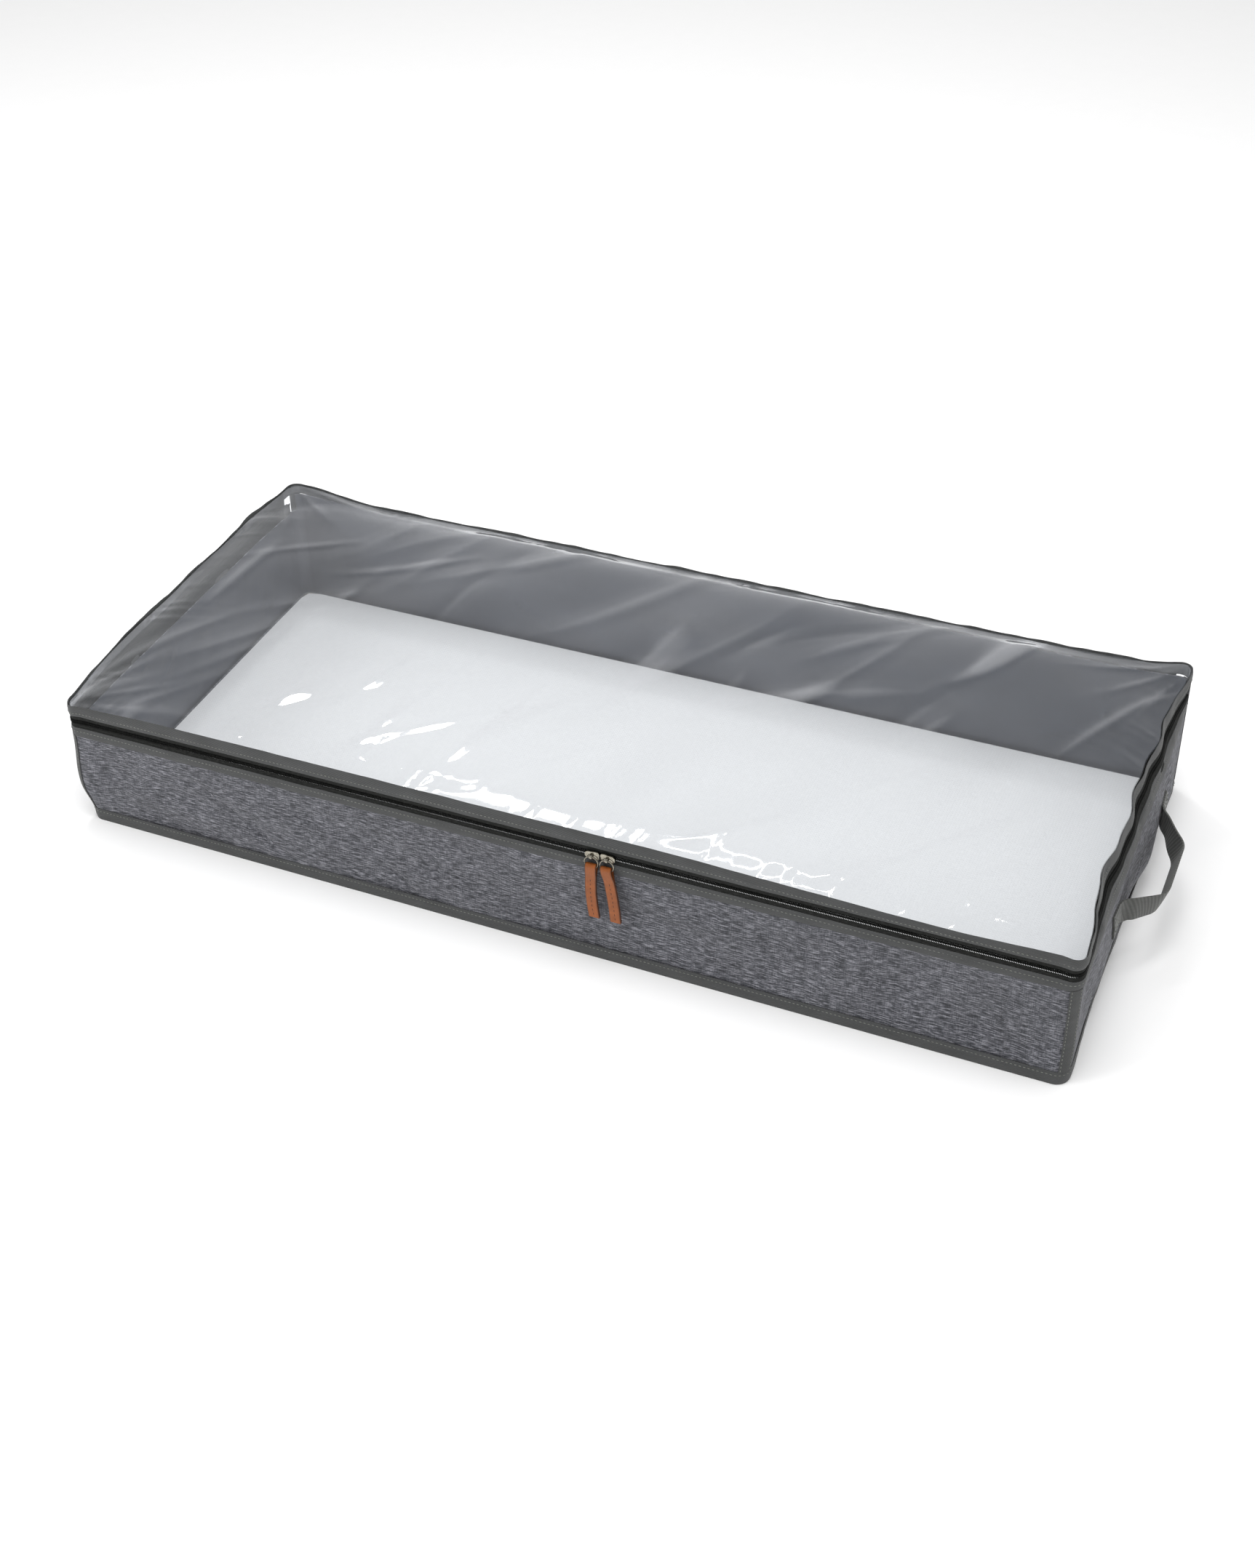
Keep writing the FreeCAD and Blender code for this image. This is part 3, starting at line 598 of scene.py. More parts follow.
class Run:
    """A line round the box in plan: points, outward normals and distances along it."""

    def __init__(self, points, normals, closed):
        self.points = np.asarray(points)
        self.normals = np.asarray(normals)
        self.closed = closed
        ahead = np.roll(self.points, -1, axis=0) if closed else self.points[1:]
        steps = np.linalg.norm(ahead - self.points[:len(ahead)], axis=1)
        self.length = float(steps.sum())
        self.along = np.concatenate([[0.0], np.cumsum(steps)])[:len(self.points)]
        self.period = self.length if closed else None

    def part(self, keep):
        return Run(self.points[keep], self.normals[keep], False)

    def at(self, out, height):
        """Points this far outwards of the line, at this height."""
        out = np.broadcast_to(out, self.along.shape)
        height = np.broadcast_to(height, self.along.shape)
        plan = self.points + self.normals * out[:, None]
        return slump(np.column_stack([plan, height]))


def box_run(inset, step=6 * MM, side_end=None):
    """The box's outline in plan, from the back of the left end round the front to the back of
    the right end, and on along the back where side_end isn't given."""
    x, y, radius = HALF_X - inset, HALF_Y - inset, CORNER_RADIUS - inset
    cx, cy = x - radius, y - radius
    top = cy if side_end is None else side_end
    points, normals = [], []

    def straight(start, end, normal):
        count = max(2, round(math.dist(start, end) / step))
        for k in range(count):
            share = k / count
            points.append([start[0] + (end[0] - start[0]) * share, start[1] + (end[1] - start[1]) * share])
            normals.append(normal)

    def corner(centre_x, centre_y, from_degrees):
        count = 14
        for k in range(count):
            angle = math.radians(from_degrees + 90 * k / count)
            normal = [math.cos(angle), math.sin(angle)]
            points.append([centre_x + radius * normal[0], centre_y + radius * normal[1]])
            normals.append(normal)

    straight((-x, top), (-x, -cy), (-1, 0))
    corner(-cx, -cy, 180)
    straight((-cx, -y), (cx, -y), (0, -1))
    corner(cx, -cy, 270)
    straight((x, -cy), (x, top), (1, 0))
    if side_end is not None:
        points.append([x, top])
        normals.append((1, 0))
        return Run(points, normals, False)
    corner(cx, cy, 0)
    straight((cx, y), (-cx, y), (0, 1))
    corner(-cx, cy, 90)
    return Run(points, normals, True)


def near_front(run):
    """1 on the front, where the pulls and sliders pass, and 0 on the other sides."""
    return np.clip(-run.normals[:, 1], 0, 1)


def tape_band(name, run, low, high, material, seed, thickness, waviness, curl=0.0, rows=5):
    """A flat tape round the box with soft waves in its face and its two edges. curl lifts its
    upper edge off the box."""
    share = np.linspace(0, 1, rows)
    calm = 1 - 0.75 * near_front(run)
    face = waves(run.along, seed, 0.16, run.period) * waviness * calm
    low_edge = low + waves(run.along, seed + 1, 0.22, run.period) * waviness * 0.8 * calm
    high_edge = high + waves(run.along, seed + 2, 0.19, run.period) * waviness * 0.8 * calm
    lift = curl * np.clip(waves(run.along, seed + 3, 0.3, run.period), 0, 1) * calm
    outer, inner, place = [], [], []
    for v in share:
        height = low_edge + (high_edge - low_edge) * v
        swell = 0.25 * thickness * math.sin(math.pi * v)
        out = face * math.sin(math.pi * v) + lift * v ** 2
        inward = 0.0 if 0 < v < 1 else 0.3 * thickness
        outer.append(run.at(out + swell - inward, height))
        inner.append(run.at(out - thickness + inward * 0.5, height))
        place.append(np.column_stack([run.along, np.full_like(run.along, v * (high - low))]))
    grids = [np.stack(g, axis=1) for g in (outer, inner, place)]
    return shell(name, grids[0], grids[1], material, grids[2], run.closed)


# ---------------------------------------------------------------- what repeats along a run

def run_tree():
    """Geometry nodes that set copies of one small shape along a line, facing outwards."""
    tree = bpy.data.node_groups.get("copies_along_a_run")
    if tree:
        return tree
    tree = bpy.data.node_groups.new("copies_along_a_run", "GeometryNodeTree")
    sockets = {"Line": "Geometry", "Shape": "Object", "Pitch": "Float", "Finish": "Material"}
    for socket, kind in sockets.items():
        tree.interface.new_socket(socket, in_out="INPUT", socket_type=f"NodeSocket{kind}")
    tree.interface.new_socket("Copies", in_out="OUTPUT", socket_type="NodeSocketGeometry")
    given = add(tree, "NodeGroupInput").outputs
    outward = add(tree, "GeometryNodeInputNamedAttribute", {"Name": "outward"}, data_type="FLOAT_VECTOR")
    curve = add(tree, "GeometryNodeMeshToCurve", {0: given["Line"]})
    points = add(tree, "GeometryNodeCurveToPoints", {"Curve": curve.outputs[0], "Length": given["Pitch"]},
                 mode="LENGTH")
    facing = add(tree, "FunctionNodeAxesToRotation", {
        0: points.outputs["Tangent"], 1: outward.outputs["Attribute"]},
        primary_axis="X", secondary_axis="Y")
    shape = add(tree, "GeometryNodeObjectInfo", {"Object": given["Shape"]})
    copies = add(tree, "GeometryNodeInstanceOnPoints", {
        "Points": points.outputs["Points"], "Instance": shape.outputs["Geometry"],
        "Rotation": facing.outputs[0]})
    real = add(tree, "GeometryNodeRealizeInstances", {0: copies.outputs[0]})
    painted = add(tree, "GeometryNodeSetMaterial", {"Geometry": real.outputs[0], "Material": given["Finish"]})
    add(tree, "NodeGroupOutput", {"Copies": painted.outputs[0]})
    return tree


def copies_along(name, lines, shape, pitch, finish):
    """One plain mesh of copies along several lines. A line is (points, outward normals,
    closed)."""
    vertices, edges, outward = [], [], []
    for points, normals, closed in lines:
        first = len(vertices)
        vertices.extend(tuple(p) for p in points)
        outward.extend(normals)
        edges.extend((first + k, first + k + 1) for k in range(len(points) - 1))
        if closed:
            edges.append((first + len(points) - 1, first))
    mesh = bpy.data.meshes.new(name)
    mesh.from_pydata(vertices, edges, [])
    mesh.attributes.new("outward", "FLOAT_VECTOR", "POINT").data.foreach_set(
        "vector", np.asarray(outward, dtype=np.float32).ravel())
    piece = new_object(name, mesh)
    tree = run_tree()
    modifier = piece.modifiers.new("Copies", "NODES")
    modifier.node_group = tree
    values = {"Shape": shape, "Pitch": pitch, "Finish": finish}
    for item in tree.interface.items_tree:
        if item.name in values:
            modifier[item.identifier] = values[item.name]
    evaluated = piece.evaluated_get(bpy.context.evaluated_depsgraph_get())
    plain = bpy.data.meshes.new_from_object(evaluated)
    piece.modifiers.clear()
    piece.data = plain
    plain.name = name
    if not plain.polygons:
        raise RuntimeError(f"{name} has no copies")
    return piece


def pill(name, size_along, size_out, size_up, rings=6, sides=8):
    """A small rounded bar to copy, lying along X with its outside towards Y."""
    build = bmesh.new()
    bmesh.ops.create_uvsphere(build, u_segments=sides, v_segments=rings, radius=0.5)
    bmesh.ops.scale(build, vec=(size_along, size_out, size_up), verts=build.verts)
    mesh = bpy.data.meshes.new(name)
    build.to_mesh(mesh)
    build.free()
    mesh.polygons.foreach_set("use_smooth", np.ones(len(mesh.polygons), dtype=bool))
    shape = new_object(name, mesh)
    shape.hide_render = True
    return shape


def sew(name, lines, body, colours, cloth, thread=None):
    """Stitches along lines on one body."""
    length = cloth.stitch_length
    shape = pill(f"{name}_shape", length, 0.55 * MM, 0.75 * MM, rings=5, sides=6)
    piece = copies_along(name, lines, shape, cloth.stitch_pitch, thread or sewing_thread(colours))
    bpy.data.objects.remove(shape)
    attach(piece, body)
    return piece


def line_on(run, out, height):
    """A line of a run for sewing or for the coil."""
    normals = np.column_stack([run.normals, np.zeros(len(run.normals))])
    return (run.at(out, height), normals, run.closed)


# ---------------------------------------------------------------- operators

class BedBoxOperator:
    """What the operators share: the settings"""

    bl_options = {"REGISTER", "UNDO"}

    def settings(self, context):
        scene = context.scene
        return scene.bed_box_cloth, scene.bed_box_colours


def sunk(cloth, side, across, height):
    """How far a wall's face lies inside its flat plane, at a place across it and a height."""
    seed = 11 + list(FACING).index(side)
    top = back_high[2] if side == "back" else WALL_TOP
    reach = HALF_X if side in ("front", "back") else HALF_Y
    share = np.clip((height - FLOOR_OF_WALLS) / (top - FLOOR_OF_WALLS), 0, 1)
    middle = np.sin(math.pi * share) ** 0.7 * smooth(reach - np.abs(across), 9 * MM, 60 * MM)
    swell = waves_over(across, height, seed, 0.3, 5)
    line = waves_over(across, height, seed + 40, 0.19, 2)
    crease = np.clip(1 - np.abs(line) / 0.16, 0, 1) ** 1.4
    where = smooth(waves_over(across, height, seed + 60, 0.25, 2), 0.0, 0.9)
    sink = middle * (cloth.wall_dent + cloth.wall_waves * swell + cloth.wall_creases * crease * where)
    if side == "front":
        return (sink + np.hypot(sink, 0.6 * MM)) / 2 - 0.3 * MM
    return sink


class BEDBOX_OT_walls(BedBoxOperator, bpy.types.Operator):
    """The four wall panels of heathered fabric with their darker backs, whose colour is partly painted shade
    """

    bl_idname = "bedbox.walls"
    bl_label = "Walls"

    def execute(self, context):
        cloth, colours = self.settings(context)
        run = box_run(TAPE, 5 * MM)
        for side, normal in FACING.items():
            keep = np.nonzero(run.normals @ np.array(normal) > math.cos(math.radians(47)))[0]
            gap = np.nonzero(np.diff(keep) > 1)[0]
            if len(gap):
                keep = np.concatenate([keep[gap[0] + 1:], keep[:gap[0] + 1]])
            panel = run.part(keep)
            across = panel.points[:, 0] if normal[0] == 0 else panel.points[:, 1]
            top = back_high[2] if side == "back" else WALL_TOP
            outer, inner, place = [], [], []
            for height in np.linspace(FLOOR_OF_WALLS, top, 30):
                sink = sunk(cloth, side, across, height)
                outer.append(panel.at(-sink, height))
                inner.append(panel.at(-sink - FABRIC, height))
                place.append(np.column_stack([panel.along, np.full_like(panel.along, height)]))
            grids = [np.stack(g, axis=1) for g in (outer, inner, place)]
            piece = shell(f"{side}_wall_fabric", *grids[:2], heathered_polyester(colours), grids[2],
                          backing=inner_face_with_painted_shade(colours))
            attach(piece, "box")
            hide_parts(f"{side}_wall")
        return {"FINISHED"}


class BEDBOX_OT_base(BedBoxOperator, bpy.types.Operator):
    """The fabric base, and the loose board with its lining"""

    bl_idname = "bedbox.base"
    bl_label = "Base"

    def execute(self, context):
        colours = context.scene.bed_box_colours
        piece = flat_sheet("base_panel_fabric", "base_panel", heathered_polyester(colours), 0.3 * MM, 21)
        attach(piece, "box")
        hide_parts("base_panel")
        lining = flat_sheet("base_lining_felt", "base_lining", nonwoven_lining(colours), 1.2 * MM, 33)
        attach(lining, "box")
        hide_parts("base_lining")
        board = frame["nodes"]["base_board"]
        board.data.materials.clear()
        board.data.materials.append(grey_board())
        return {"FINISHED"}


def flat_sheet(name, node, material, waviness, seed):
    """A flat sheet as large as a node, whose upper face has low broad waves."""
    low, high = (np.array(corner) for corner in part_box(node))
    across, along = 61, 31
    x = np.linspace(low[0], high[0], across)
    y = np.linspace(low[1], high[1], along)
    grid_x, grid_y = np.meshgrid(x, y, indexing="ij")
    grid_x, grid_y = round_corners(grid_x, grid_y, high[0], high[1], CORNER_RADIUS - 2 * MM)
    edge = np.minimum(high[0] - np.abs(grid_x), high[1] - np.abs(grid_y))
    rise = waviness * (0.5 + 0.5 * waves_over(grid_x, grid_y, seed, 0.28)) * np.clip(edge / (30 * MM), 0, 1)
    top = slump(np.stack([grid_x, grid_y, high[2] + rise], axis=2))
    bottom = slump(np.stack([grid_x, grid_y, np.full_like(grid_x, low[2])], axis=2))
    return shell(name, top, bottom, material, np.stack([grid_x, grid_y], axis=2))


def round_corners(x, y, half_x, half_y, radius):
    """Moves a rectangle's points so that its corners become round."""
    over_x = np.clip(np.abs(x) - (half_x - radius), 0, None)
    over_y = np.clip(np.abs(y) - (half_y - radius), 0, None)
    both = (over_x > 0) & (over_y > 0)
    longest = np.maximum(over_x, over_y)
    reach = np.where(both, np.hypot(over_x, over_y), 1.0)
    scale = np.where(both, longest / reach, 1.0)
    new_x = np.where(both, np.sign(x) * (half_x - radius + over_x * scale), x)
    new_y = np.where(both, np.sign(y) * (half_y - radius + over_y * scale), y)
    return new_x, new_y


class BEDBOX_OT_bindings(BedBoxOperator, bpy.types.Operator):
    """The tapes that bind the base, the corners and the rim, with their stitches"""

    bl_idname = "bedbox.bindings"
    bl_label = "Bindings"

    def execute(self, context):
        cloth, colours = self.settings(context)
        tape = twill_tape(colours)
        base = tape_band("base_edge_tape", box_run(0), base_low[2], base_high[2], tape, 41,
                         1.3 * MM, cloth.tape_waves * 0.5)
        rim = tape_band("rim_tape_band", box_run(0, side_end=SIDE_END), rim_low[2], rim_high[2], tape, 51,
                        TAPE, cloth.tape_waves)
        for piece, node in ((base, "base_edge_binding"), (rim, "rim_tape")):
            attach(piece, "box")
            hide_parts(node)
        lines = [line_on(box_run(0), 0.15 * MM, base_high[2] - 3 * MM),
                 line_on(box_run(0, side_end=SIDE_END), 0.2 * MM, rim_high[2] - 4 * MM)]
        run = box_run(0, 3 * MM)
        quarters = {"front_left": (-1, -1), "front_right": (1, -1),
                    "back_right": (1, 1), "back_left": (-1, 1)}
        for name, (sign_x, sign_y) in quarters.items():
            middle = np.argmax(run.normals @ np.array([sign_x, sign_y]))
            strip = run.part(np.nonzero(np.abs(run.along - run.along[middle]) < cloth.corner_tape / 2)[0])
            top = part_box(f"{name}_corner_binding")[1][2] if sign_y > 0 else rim_low[2]
            lines.extend(self.corner(name, strip, base_high[2], top, tape))
        sew("box_stitches", lines, "box", colours, cloth)
        return {"FINISHED"}

    def corner(self, name, strip, low, high, tape):
        """One corner's tape, and the line of stitches down each of its edges."""
        rows = 24
        outer, inner, place = [], [], []
        for v in np.linspace(0, 1, rows):
            height = low + (high - low) * v
            outer.append(strip.at(0.1 * MM, height))
            inner.append(strip.at(-TAPE, height))
            place.append(np.column_stack([strip.along, np.full_like(strip.along, height)]))
        grids = [np.stack(g, axis=1) for g in (outer, inner, place)]
        piece = shell(f"{name}_corner_tape", *grids[:2], tape, grids[2])
        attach(piece, "box")
        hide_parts(f"{name}_corner_binding")
        heights = np.linspace(low + 2 * MM, high - 2 * MM, 24)
        lines = []
        for index in (1, -2):
            plan = strip.points[index] + strip.normals[index] * 0.15 * MM
            points = slump(np.column_stack([np.tile(plan, (len(heights), 1)), heights]))
            normals = np.tile([*strip.normals[index], 0.0], (len(heights), 1))
            lines.append((points, normals, False))
        return lines


class BEDBOX_OT_zip(BedBoxOperator, bpy.types.Operator):
    """The zip: tape and coil on the box, tape and coil on the lid, and the end tabs"""

    bl_idname = "bedbox.zip"
    bl_label = "Zip"

    def execute(self, context):
        cloth = context.scene.bed_box_cloth
        sizes = context.scene.bed_box_zip
        knit = zip_tape_cloth()
        halves = {
            "lower": ("box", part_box("zip_lower_tape"), lower_coil_low, lower_coil_high),
            "upper": ("lid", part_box("zip_upper_tape"), upper_coil_low, upper_coil_high),
        }
        for seed, (half, (body, (low, high), coil_low, coil_high)) in enumerate(halves.items()):
            run = box_run(TAPE, side_end=high[1])
            piece = tape_band(f"zip_{half}_knit", run, low[2], high[2], knit, 61 + seed, 0.8 * MM,
                              cloth.tape_waves * 0.3)
            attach(piece, body)
            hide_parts(f"zip_{half}_tape")
            # The tape's edge goes on behind the coil, so that no light comes through its turns.
            span = (high[2], zip_middle - 0.1 * MM) if half == "lower" else (zip_middle + 0.1 * MM, low[2])
            behind_coil = box_run(TAPE + 1.7 * MM, side_end=high[1])
            edge = tape_band(f"zip_{half}_tape_edge", behind_coil, *span, knit, 61 + seed, 0.3 * MM,
                             cloth.tape_waves * 0.3)
            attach(edge, body)
            toward = 0.6 * MM if half == "lower" else -0.6 * MM
            middle = (coil_low[2] + coil_high[2]) / 2 + toward / 2
            turn = pill(f"zip_{half}_turn", sizes.turn_width, 2.4 * MM, 2.9 * MM, rings=6, sides=8)
            coil_run = box_run(TAPE + 0.4 * MM, side_end=coil_high[1])
            shift = 0.0 if half == "lower" else sizes.pitch / 2
            points, normals, closed = line_on(coil_run, 0.0, middle)
            points[0, 1] -= shift
            coil = copies_along(f"zip_{half}_turns", [(points, normals, closed)], turn, sizes.pitch,
                                nylon_coil())
            bpy.data.objects.remove(turn)
            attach(coil, body)
            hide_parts(f"zip_{half}_coil")
        tabs = frame["nodes"]["zip_end_tabs"]
        tabs.data.materials.clear()
        tabs.data.materials.append(black_woven_tab())
        return {"FINISHED"}


class BEDBOX_OT_film(BedBoxOperator, bpy.types.Operator):
    """The clear film of the lid, crowned and creased, with its edge turned down"""

    bl_idname = "bedbox.film"
    bl_label = "Film"

    def execute(self, context):
        sizes = context.scene.bed_box_film
        half_x, half_y = film_high[0], film_high[1]
        crown = film_high[2] - lid_high[2]
        along, across = FILM_GRID
        grid_x, grid_y = np.meshgrid(self.spread(half_x, along), self.spread(half_y, across), indexing="ij")
        from_edge = np.minimum(half_x - np.abs(grid_x), half_y - np.abs(grid_y))
        dome = (1 - np.abs(grid_x / half_x) ** 3) * (1 - np.abs(grid_y / half_y) ** 3)
        folds = self.folds(grid_x, grid_y, half_x, half_y)
        gathers = self.gathers(grid_x, grid_y, half_x, half_y)
        height = lid_high[2] - 1.5 * MM + crown * (0.1 + 0.8 * dome) * smooth(from_edge, -8 * MM, 24 * MM)
        height += smooth(from_edge, 2 * MM, 30 * MM) * (
            sizes.swells * waves_over(grid_x, grid_y, 71, 0.42, 3) + sizes.folds * folds)
        height += smooth(from_edge, 0, 8 * MM) * sizes.gathers * gathers
        height = np.minimum(height, film_high[2] + 5 * MM)
        grid_x, grid_y = round_corners(grid_x, grid_y, half_x, half_y, CORNER_RADIUS - 1.8 * MM)
        rim = from_edge <= 0
        height[rim] = lid_low[2] + 2 * MM
        outer = slump(np.stack([grid_x, grid_y, height], axis=2))
        inner = outer - self.normals(outer) * sizes.thickness
        piece = shell("lid_film_sheet", outer, inner, clear_film(), np.stack([grid_x, grid_y], axis=2))
        crease = np.clip(np.abs(folds) - 0.35, 0, 1) + 0.6 * np.clip(gathers - 0.3, 0, 1)
        piece.data.attributes.new("crease", "FLOAT", "POINT").data.foreach_set(
            "value", np.concatenate([crease.ravel()] * 2).astype(np.float32))
        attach(piece, "lid")
        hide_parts("lid_film")
        return {"FINISHED"}

    def spread(self, half, count):
        """Places across the film, with the outermost pair nearly on top of each other for the
        turned-down edge."""
        inner = np.linspace(-half + 0.4 * MM, half - 0.4 * MM, count)
        return np.concatenate([[-half], inner, [half]])

    def normals(self, grid):
        """Upward normals of a grid of points."""
        normal = np.cross(np.gradient(grid, axis=0), np.gradient(grid, axis=1))
        return normal / np.maximum(np.linalg.norm(normal, axis=2), 1e-12)[:, :, None]

    def folds(self, x, y, half_x, half_y):
        """Nearly straight folds with flat faces beside their crests. Most run from the front to
        the back and lean right, and there are more at the front and at the left."""
        random = np.random.default_rng(77)
        total = np.zeros_like(x)
        for _ in range(FILM_FOLDS):
            lean = math.radians(random.uniform(4, 58))
            away_x = x - half_x * (2 * random.random() ** 1.25 - 1)
            away_y = y - half_y * (1.9 * random.random() ** 1.4 - 0.95)
            length = random.uniform(60, 190) * MM
            width = random.uniform(9, 24) * MM
            bend = random.uniform(-1.2, 1.2)
            tall = random.choice([1.0, 0.8, 0.6, -0.6])
            along = away_x * math.sin(lean) + away_y * math.cos(lean)
            off = away_x * math.cos(lean) - away_y * math.sin(lean) + bend * along ** 2
            crest = np.clip(1 - np.abs(off) / width, 0, 1) ** 1.2
            total += tall * crest * np.clip(1 - (along / length) ** 2, 0, 1)
        return np.clip(total, -1.2, 1.8)

    def gathers(self, x, y, half_x, half_y):
        """Small creases that run in from the sewn edge, and fans of them at the corners."""
        total = np.zeros_like(x)
        edges = ((x, half_y + y, 1.0), (x, half_y - y, 0.5), (y, half_x + x, 0.8), (y, half_x - x, 0.8))
        for seed, (place, depth, strength) in enumerate(edges):
            leaning = place - 0.3 * depth
            crest = 1 - np.abs(np.sin(leaning * math.pi / (21 * MM) + 2 * waves(leaning, 83 + seed, 0.2)))
            uneven = np.clip(0.25 + waves(leaning, 93 + seed, 0.17), 0, 1.2)
            total += strength * crest ** 1.7 * uneven * np.exp(-depth / (27 * MM))
        for sign_x, sign_y in ((-1, -1), (1, -1), (-1, 1), (1, 1)):
            to_x, to_y = half_x - sign_x * x, half_y - sign_y * y
            fan = 1 - np.abs(np.sin(np.arctan2(to_y, to_x) * 6.5 + sign_x))
            total += 0.9 * fan ** 2.2 * near(np.hypot(to_x, to_y), 60 * MM, 48 * MM)
        return total


class BEDBOX_OT_lid_tape(BedBoxOperator, bpy.types.Operator):
    """The tape that binds the lid's edge, and the seam tape that it folds back on"""

    bl_idname = "bedbox.lid_tape"
    bl_label = "Lid tapes"

    def execute(self, context):
        cloth, colours = self.settings(context)
        tape = twill_tape(colours)
        run = box_run(0)
        piece = tape_band("lid_edge_tape", run, lid_low[2], lid_high[2], tape, 91, 1.2 * MM,
                          cloth.tape_waves, curl=1.6 * MM)
        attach(piece, "lid")
        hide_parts("lid_binding")
        sew("lid_stitches", [line_on(run, 0.25 * MM, lid_low[2] + 4 * MM)], "lid", colours, cloth)
        self.seam(tape, cloth, colours)
        return {"FINISHED"}

    def seam(self, tape, cloth, colours):
        """The seam tape, sewn to the back wall below and to the lid above."""
        count = 150
        x = np.linspace(hinge_low[0], hinge_high[0], count)
        points = np.column_stack([x, np.full(count, hinge_high[1])])
        back = Run(points, np.tile([0.0, 1.0], (count, 1)), False)
        top = lid_low[2] + 7 * MM
        piece = tape_band("lid_seam_tape", back, hinge_low[2], top, tape, 97, 0.9 * MM,
                          cloth.tape_waves * 0.5, rows=12)
        for vertex in piece.data.vertices:
            vertex.co.y += 1.0 * MM
        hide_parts("back_hinge_tape")
        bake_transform(piece)
        lines = [line_on(back, 1.3 * MM, hinge_low[2] + rise) for rise in (2.5 * MM, 7 * MM)]
        sew("seam_stitches", lines, "box", colours, cloth)


class BEDBOX_OT_sliders(BedBoxOperator, bpy.types.Operator):
    """The two nickel sliders and their split rings"""

    bl_idname = "bedbox.sliders"
    bl_label = "Sliders and rings"

    def execute(self, context):
        metal = nickel_plate()
        for side in SIDES:
            slider = self.slider(side, metal)
            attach(slider, f"{side}_slider")
            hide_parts(f"{side}_slider")
            ring = self.ring(side, metal)
            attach(ring, f"{side}_ring")
            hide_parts(f"{side}_pull_ring")
        return {"FINISHED"}

    def slider(self, side, metal):
        """Two shield-shaped plates, the post between them, and the bail on the front one."""
        low, high = (np.array(corner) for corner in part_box(f"{side}_slider"))
        centre_x, centre_z = (low[0] + high[0]) / 2, (low[2] + high[2]) / 2
        half_length, half_height = (high[0] - low[0]) / 2, (high[2] - low[2]) / 2
        back_y = high[1]
        flip = 1 if side == "left" else -1
        outline = [(-1.0, -0.35), (-0.72, -0.8), (-0.1, -0.86), (0.5, -0.98), (0.86, -0.9), (1.0, -0.6),
                   (1.0, 0.6), (0.86, 0.9), (0.5, 0.98), (-0.1, 0.86), (-0.72, 0.8), (-1.0, 0.35)]
        build = bmesh.new()
        plates = ((back_y - 1 * MM, back_y), (back_y - 6 * MM, back_y - 4 * MM))
        for front, rear in plates:
            rings = []
            for y in (front, rear):
                rings.append([
                    build.verts.new((centre_x + flip * px * half_length, y, centre_z + pz * half_height))
                    for px, pz in outline])
            build.faces.new(rings[0])
            build.faces.new(list(reversed(rings[1])))
            for k in range(len(outline)):
                m = (k + 1) % len(outline)
                build.faces.new((rings[0][k], rings[1][k], rings[1][m], rings[0][m]))
        post = bmesh.ops.create_cube(build, size=1.0)["verts"]
        bmesh.ops.scale(build, vec=(4 * MM, 4 * MM, 0.6 * MM), verts=post)
        bmesh.ops.translate(build, vec=(centre_x, back_y - 2.5 * MM, centre_z), verts=post)
        self.bail(build, centre_x, back_y - 6 * MM, centre_z, low[1])
        bmesh.ops.recalc_face_normals(build, faces=build.faces)
        mesh = bpy.data.meshes.new(f"{side}_slider_body")
        build.to_mesh(mesh)
        build.free()
        mesh.materials.append(metal)
        piece = new_object(f"{side}_slider_body", mesh)
        round_edges(piece, 0.35 * MM)
        return piece

    def bail(self, build, x, plate_y, z, tip_y):
        """A flat strap of metal that stands on the front plate and leaves a hole for the ring."""
        outer, inner, half_width = 2.2 * MM, 1.2 * MM, 1.3 * MM
        centre_y = tip_y + outer
        rings = []
        for radius in (outer, inner):
            path = [(plate_y + 0.3 * MM, radius)]
            path += [(centre_y - radius * math.sin(a), radius * math.cos(a))
                     for a in np.linspace(0, math.pi, 11)]
            path += [(plate_y + 0.3 * MM, -radius)]
            for side in (-half_width, half_width):
                rings.append([build.verts.new((x + side, y, z + up)) for y, up in path])
        outer_low, outer_high, inner_low, inner_high = rings
        for k in range(len(outer_low) - 1):
            for a, b in ((outer_low, outer_high), (inner_high, inner_low), (inner_low, outer_low),
                         (outer_high, inner_high)):
                build.faces.new((a[k], a[k + 1], b[k + 1], b[k]))
        for k in (0, -1):
            build.faces.new((outer_low[k], outer_high[k], inner_high[k], inner_low[k]))

    def ring(self, side, metal):
        """A split ring: one wire wound nearly twice round."""
        low, high = (np.array(corner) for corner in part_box(f"{side}_pull_ring"))
        centre = (low + high) / 2
        wire = 0.42 * MM
        radius = JOINTS[f"{side}_ring_swing"]["pos_m"][2] - centre[2]
        turns, count = 1.93, 120
        angles = np.linspace(0, 2 * math.pi * turns, count) + math.radians(200)
        drift = np.clip((np.linspace(0, turns, count) - 0.93) / 0.14, 0, 1)
        offset = (drift * 2 - 1) * wire
        path = np.column_stack([centre[0] + radius * np.cos(angles), centre[1] + offset,
                                centre[2] + radius * np.sin(angles)])
        return tube(f"{side}_split_ring", path, wire, metal, frame_up=(0, 1, 0))


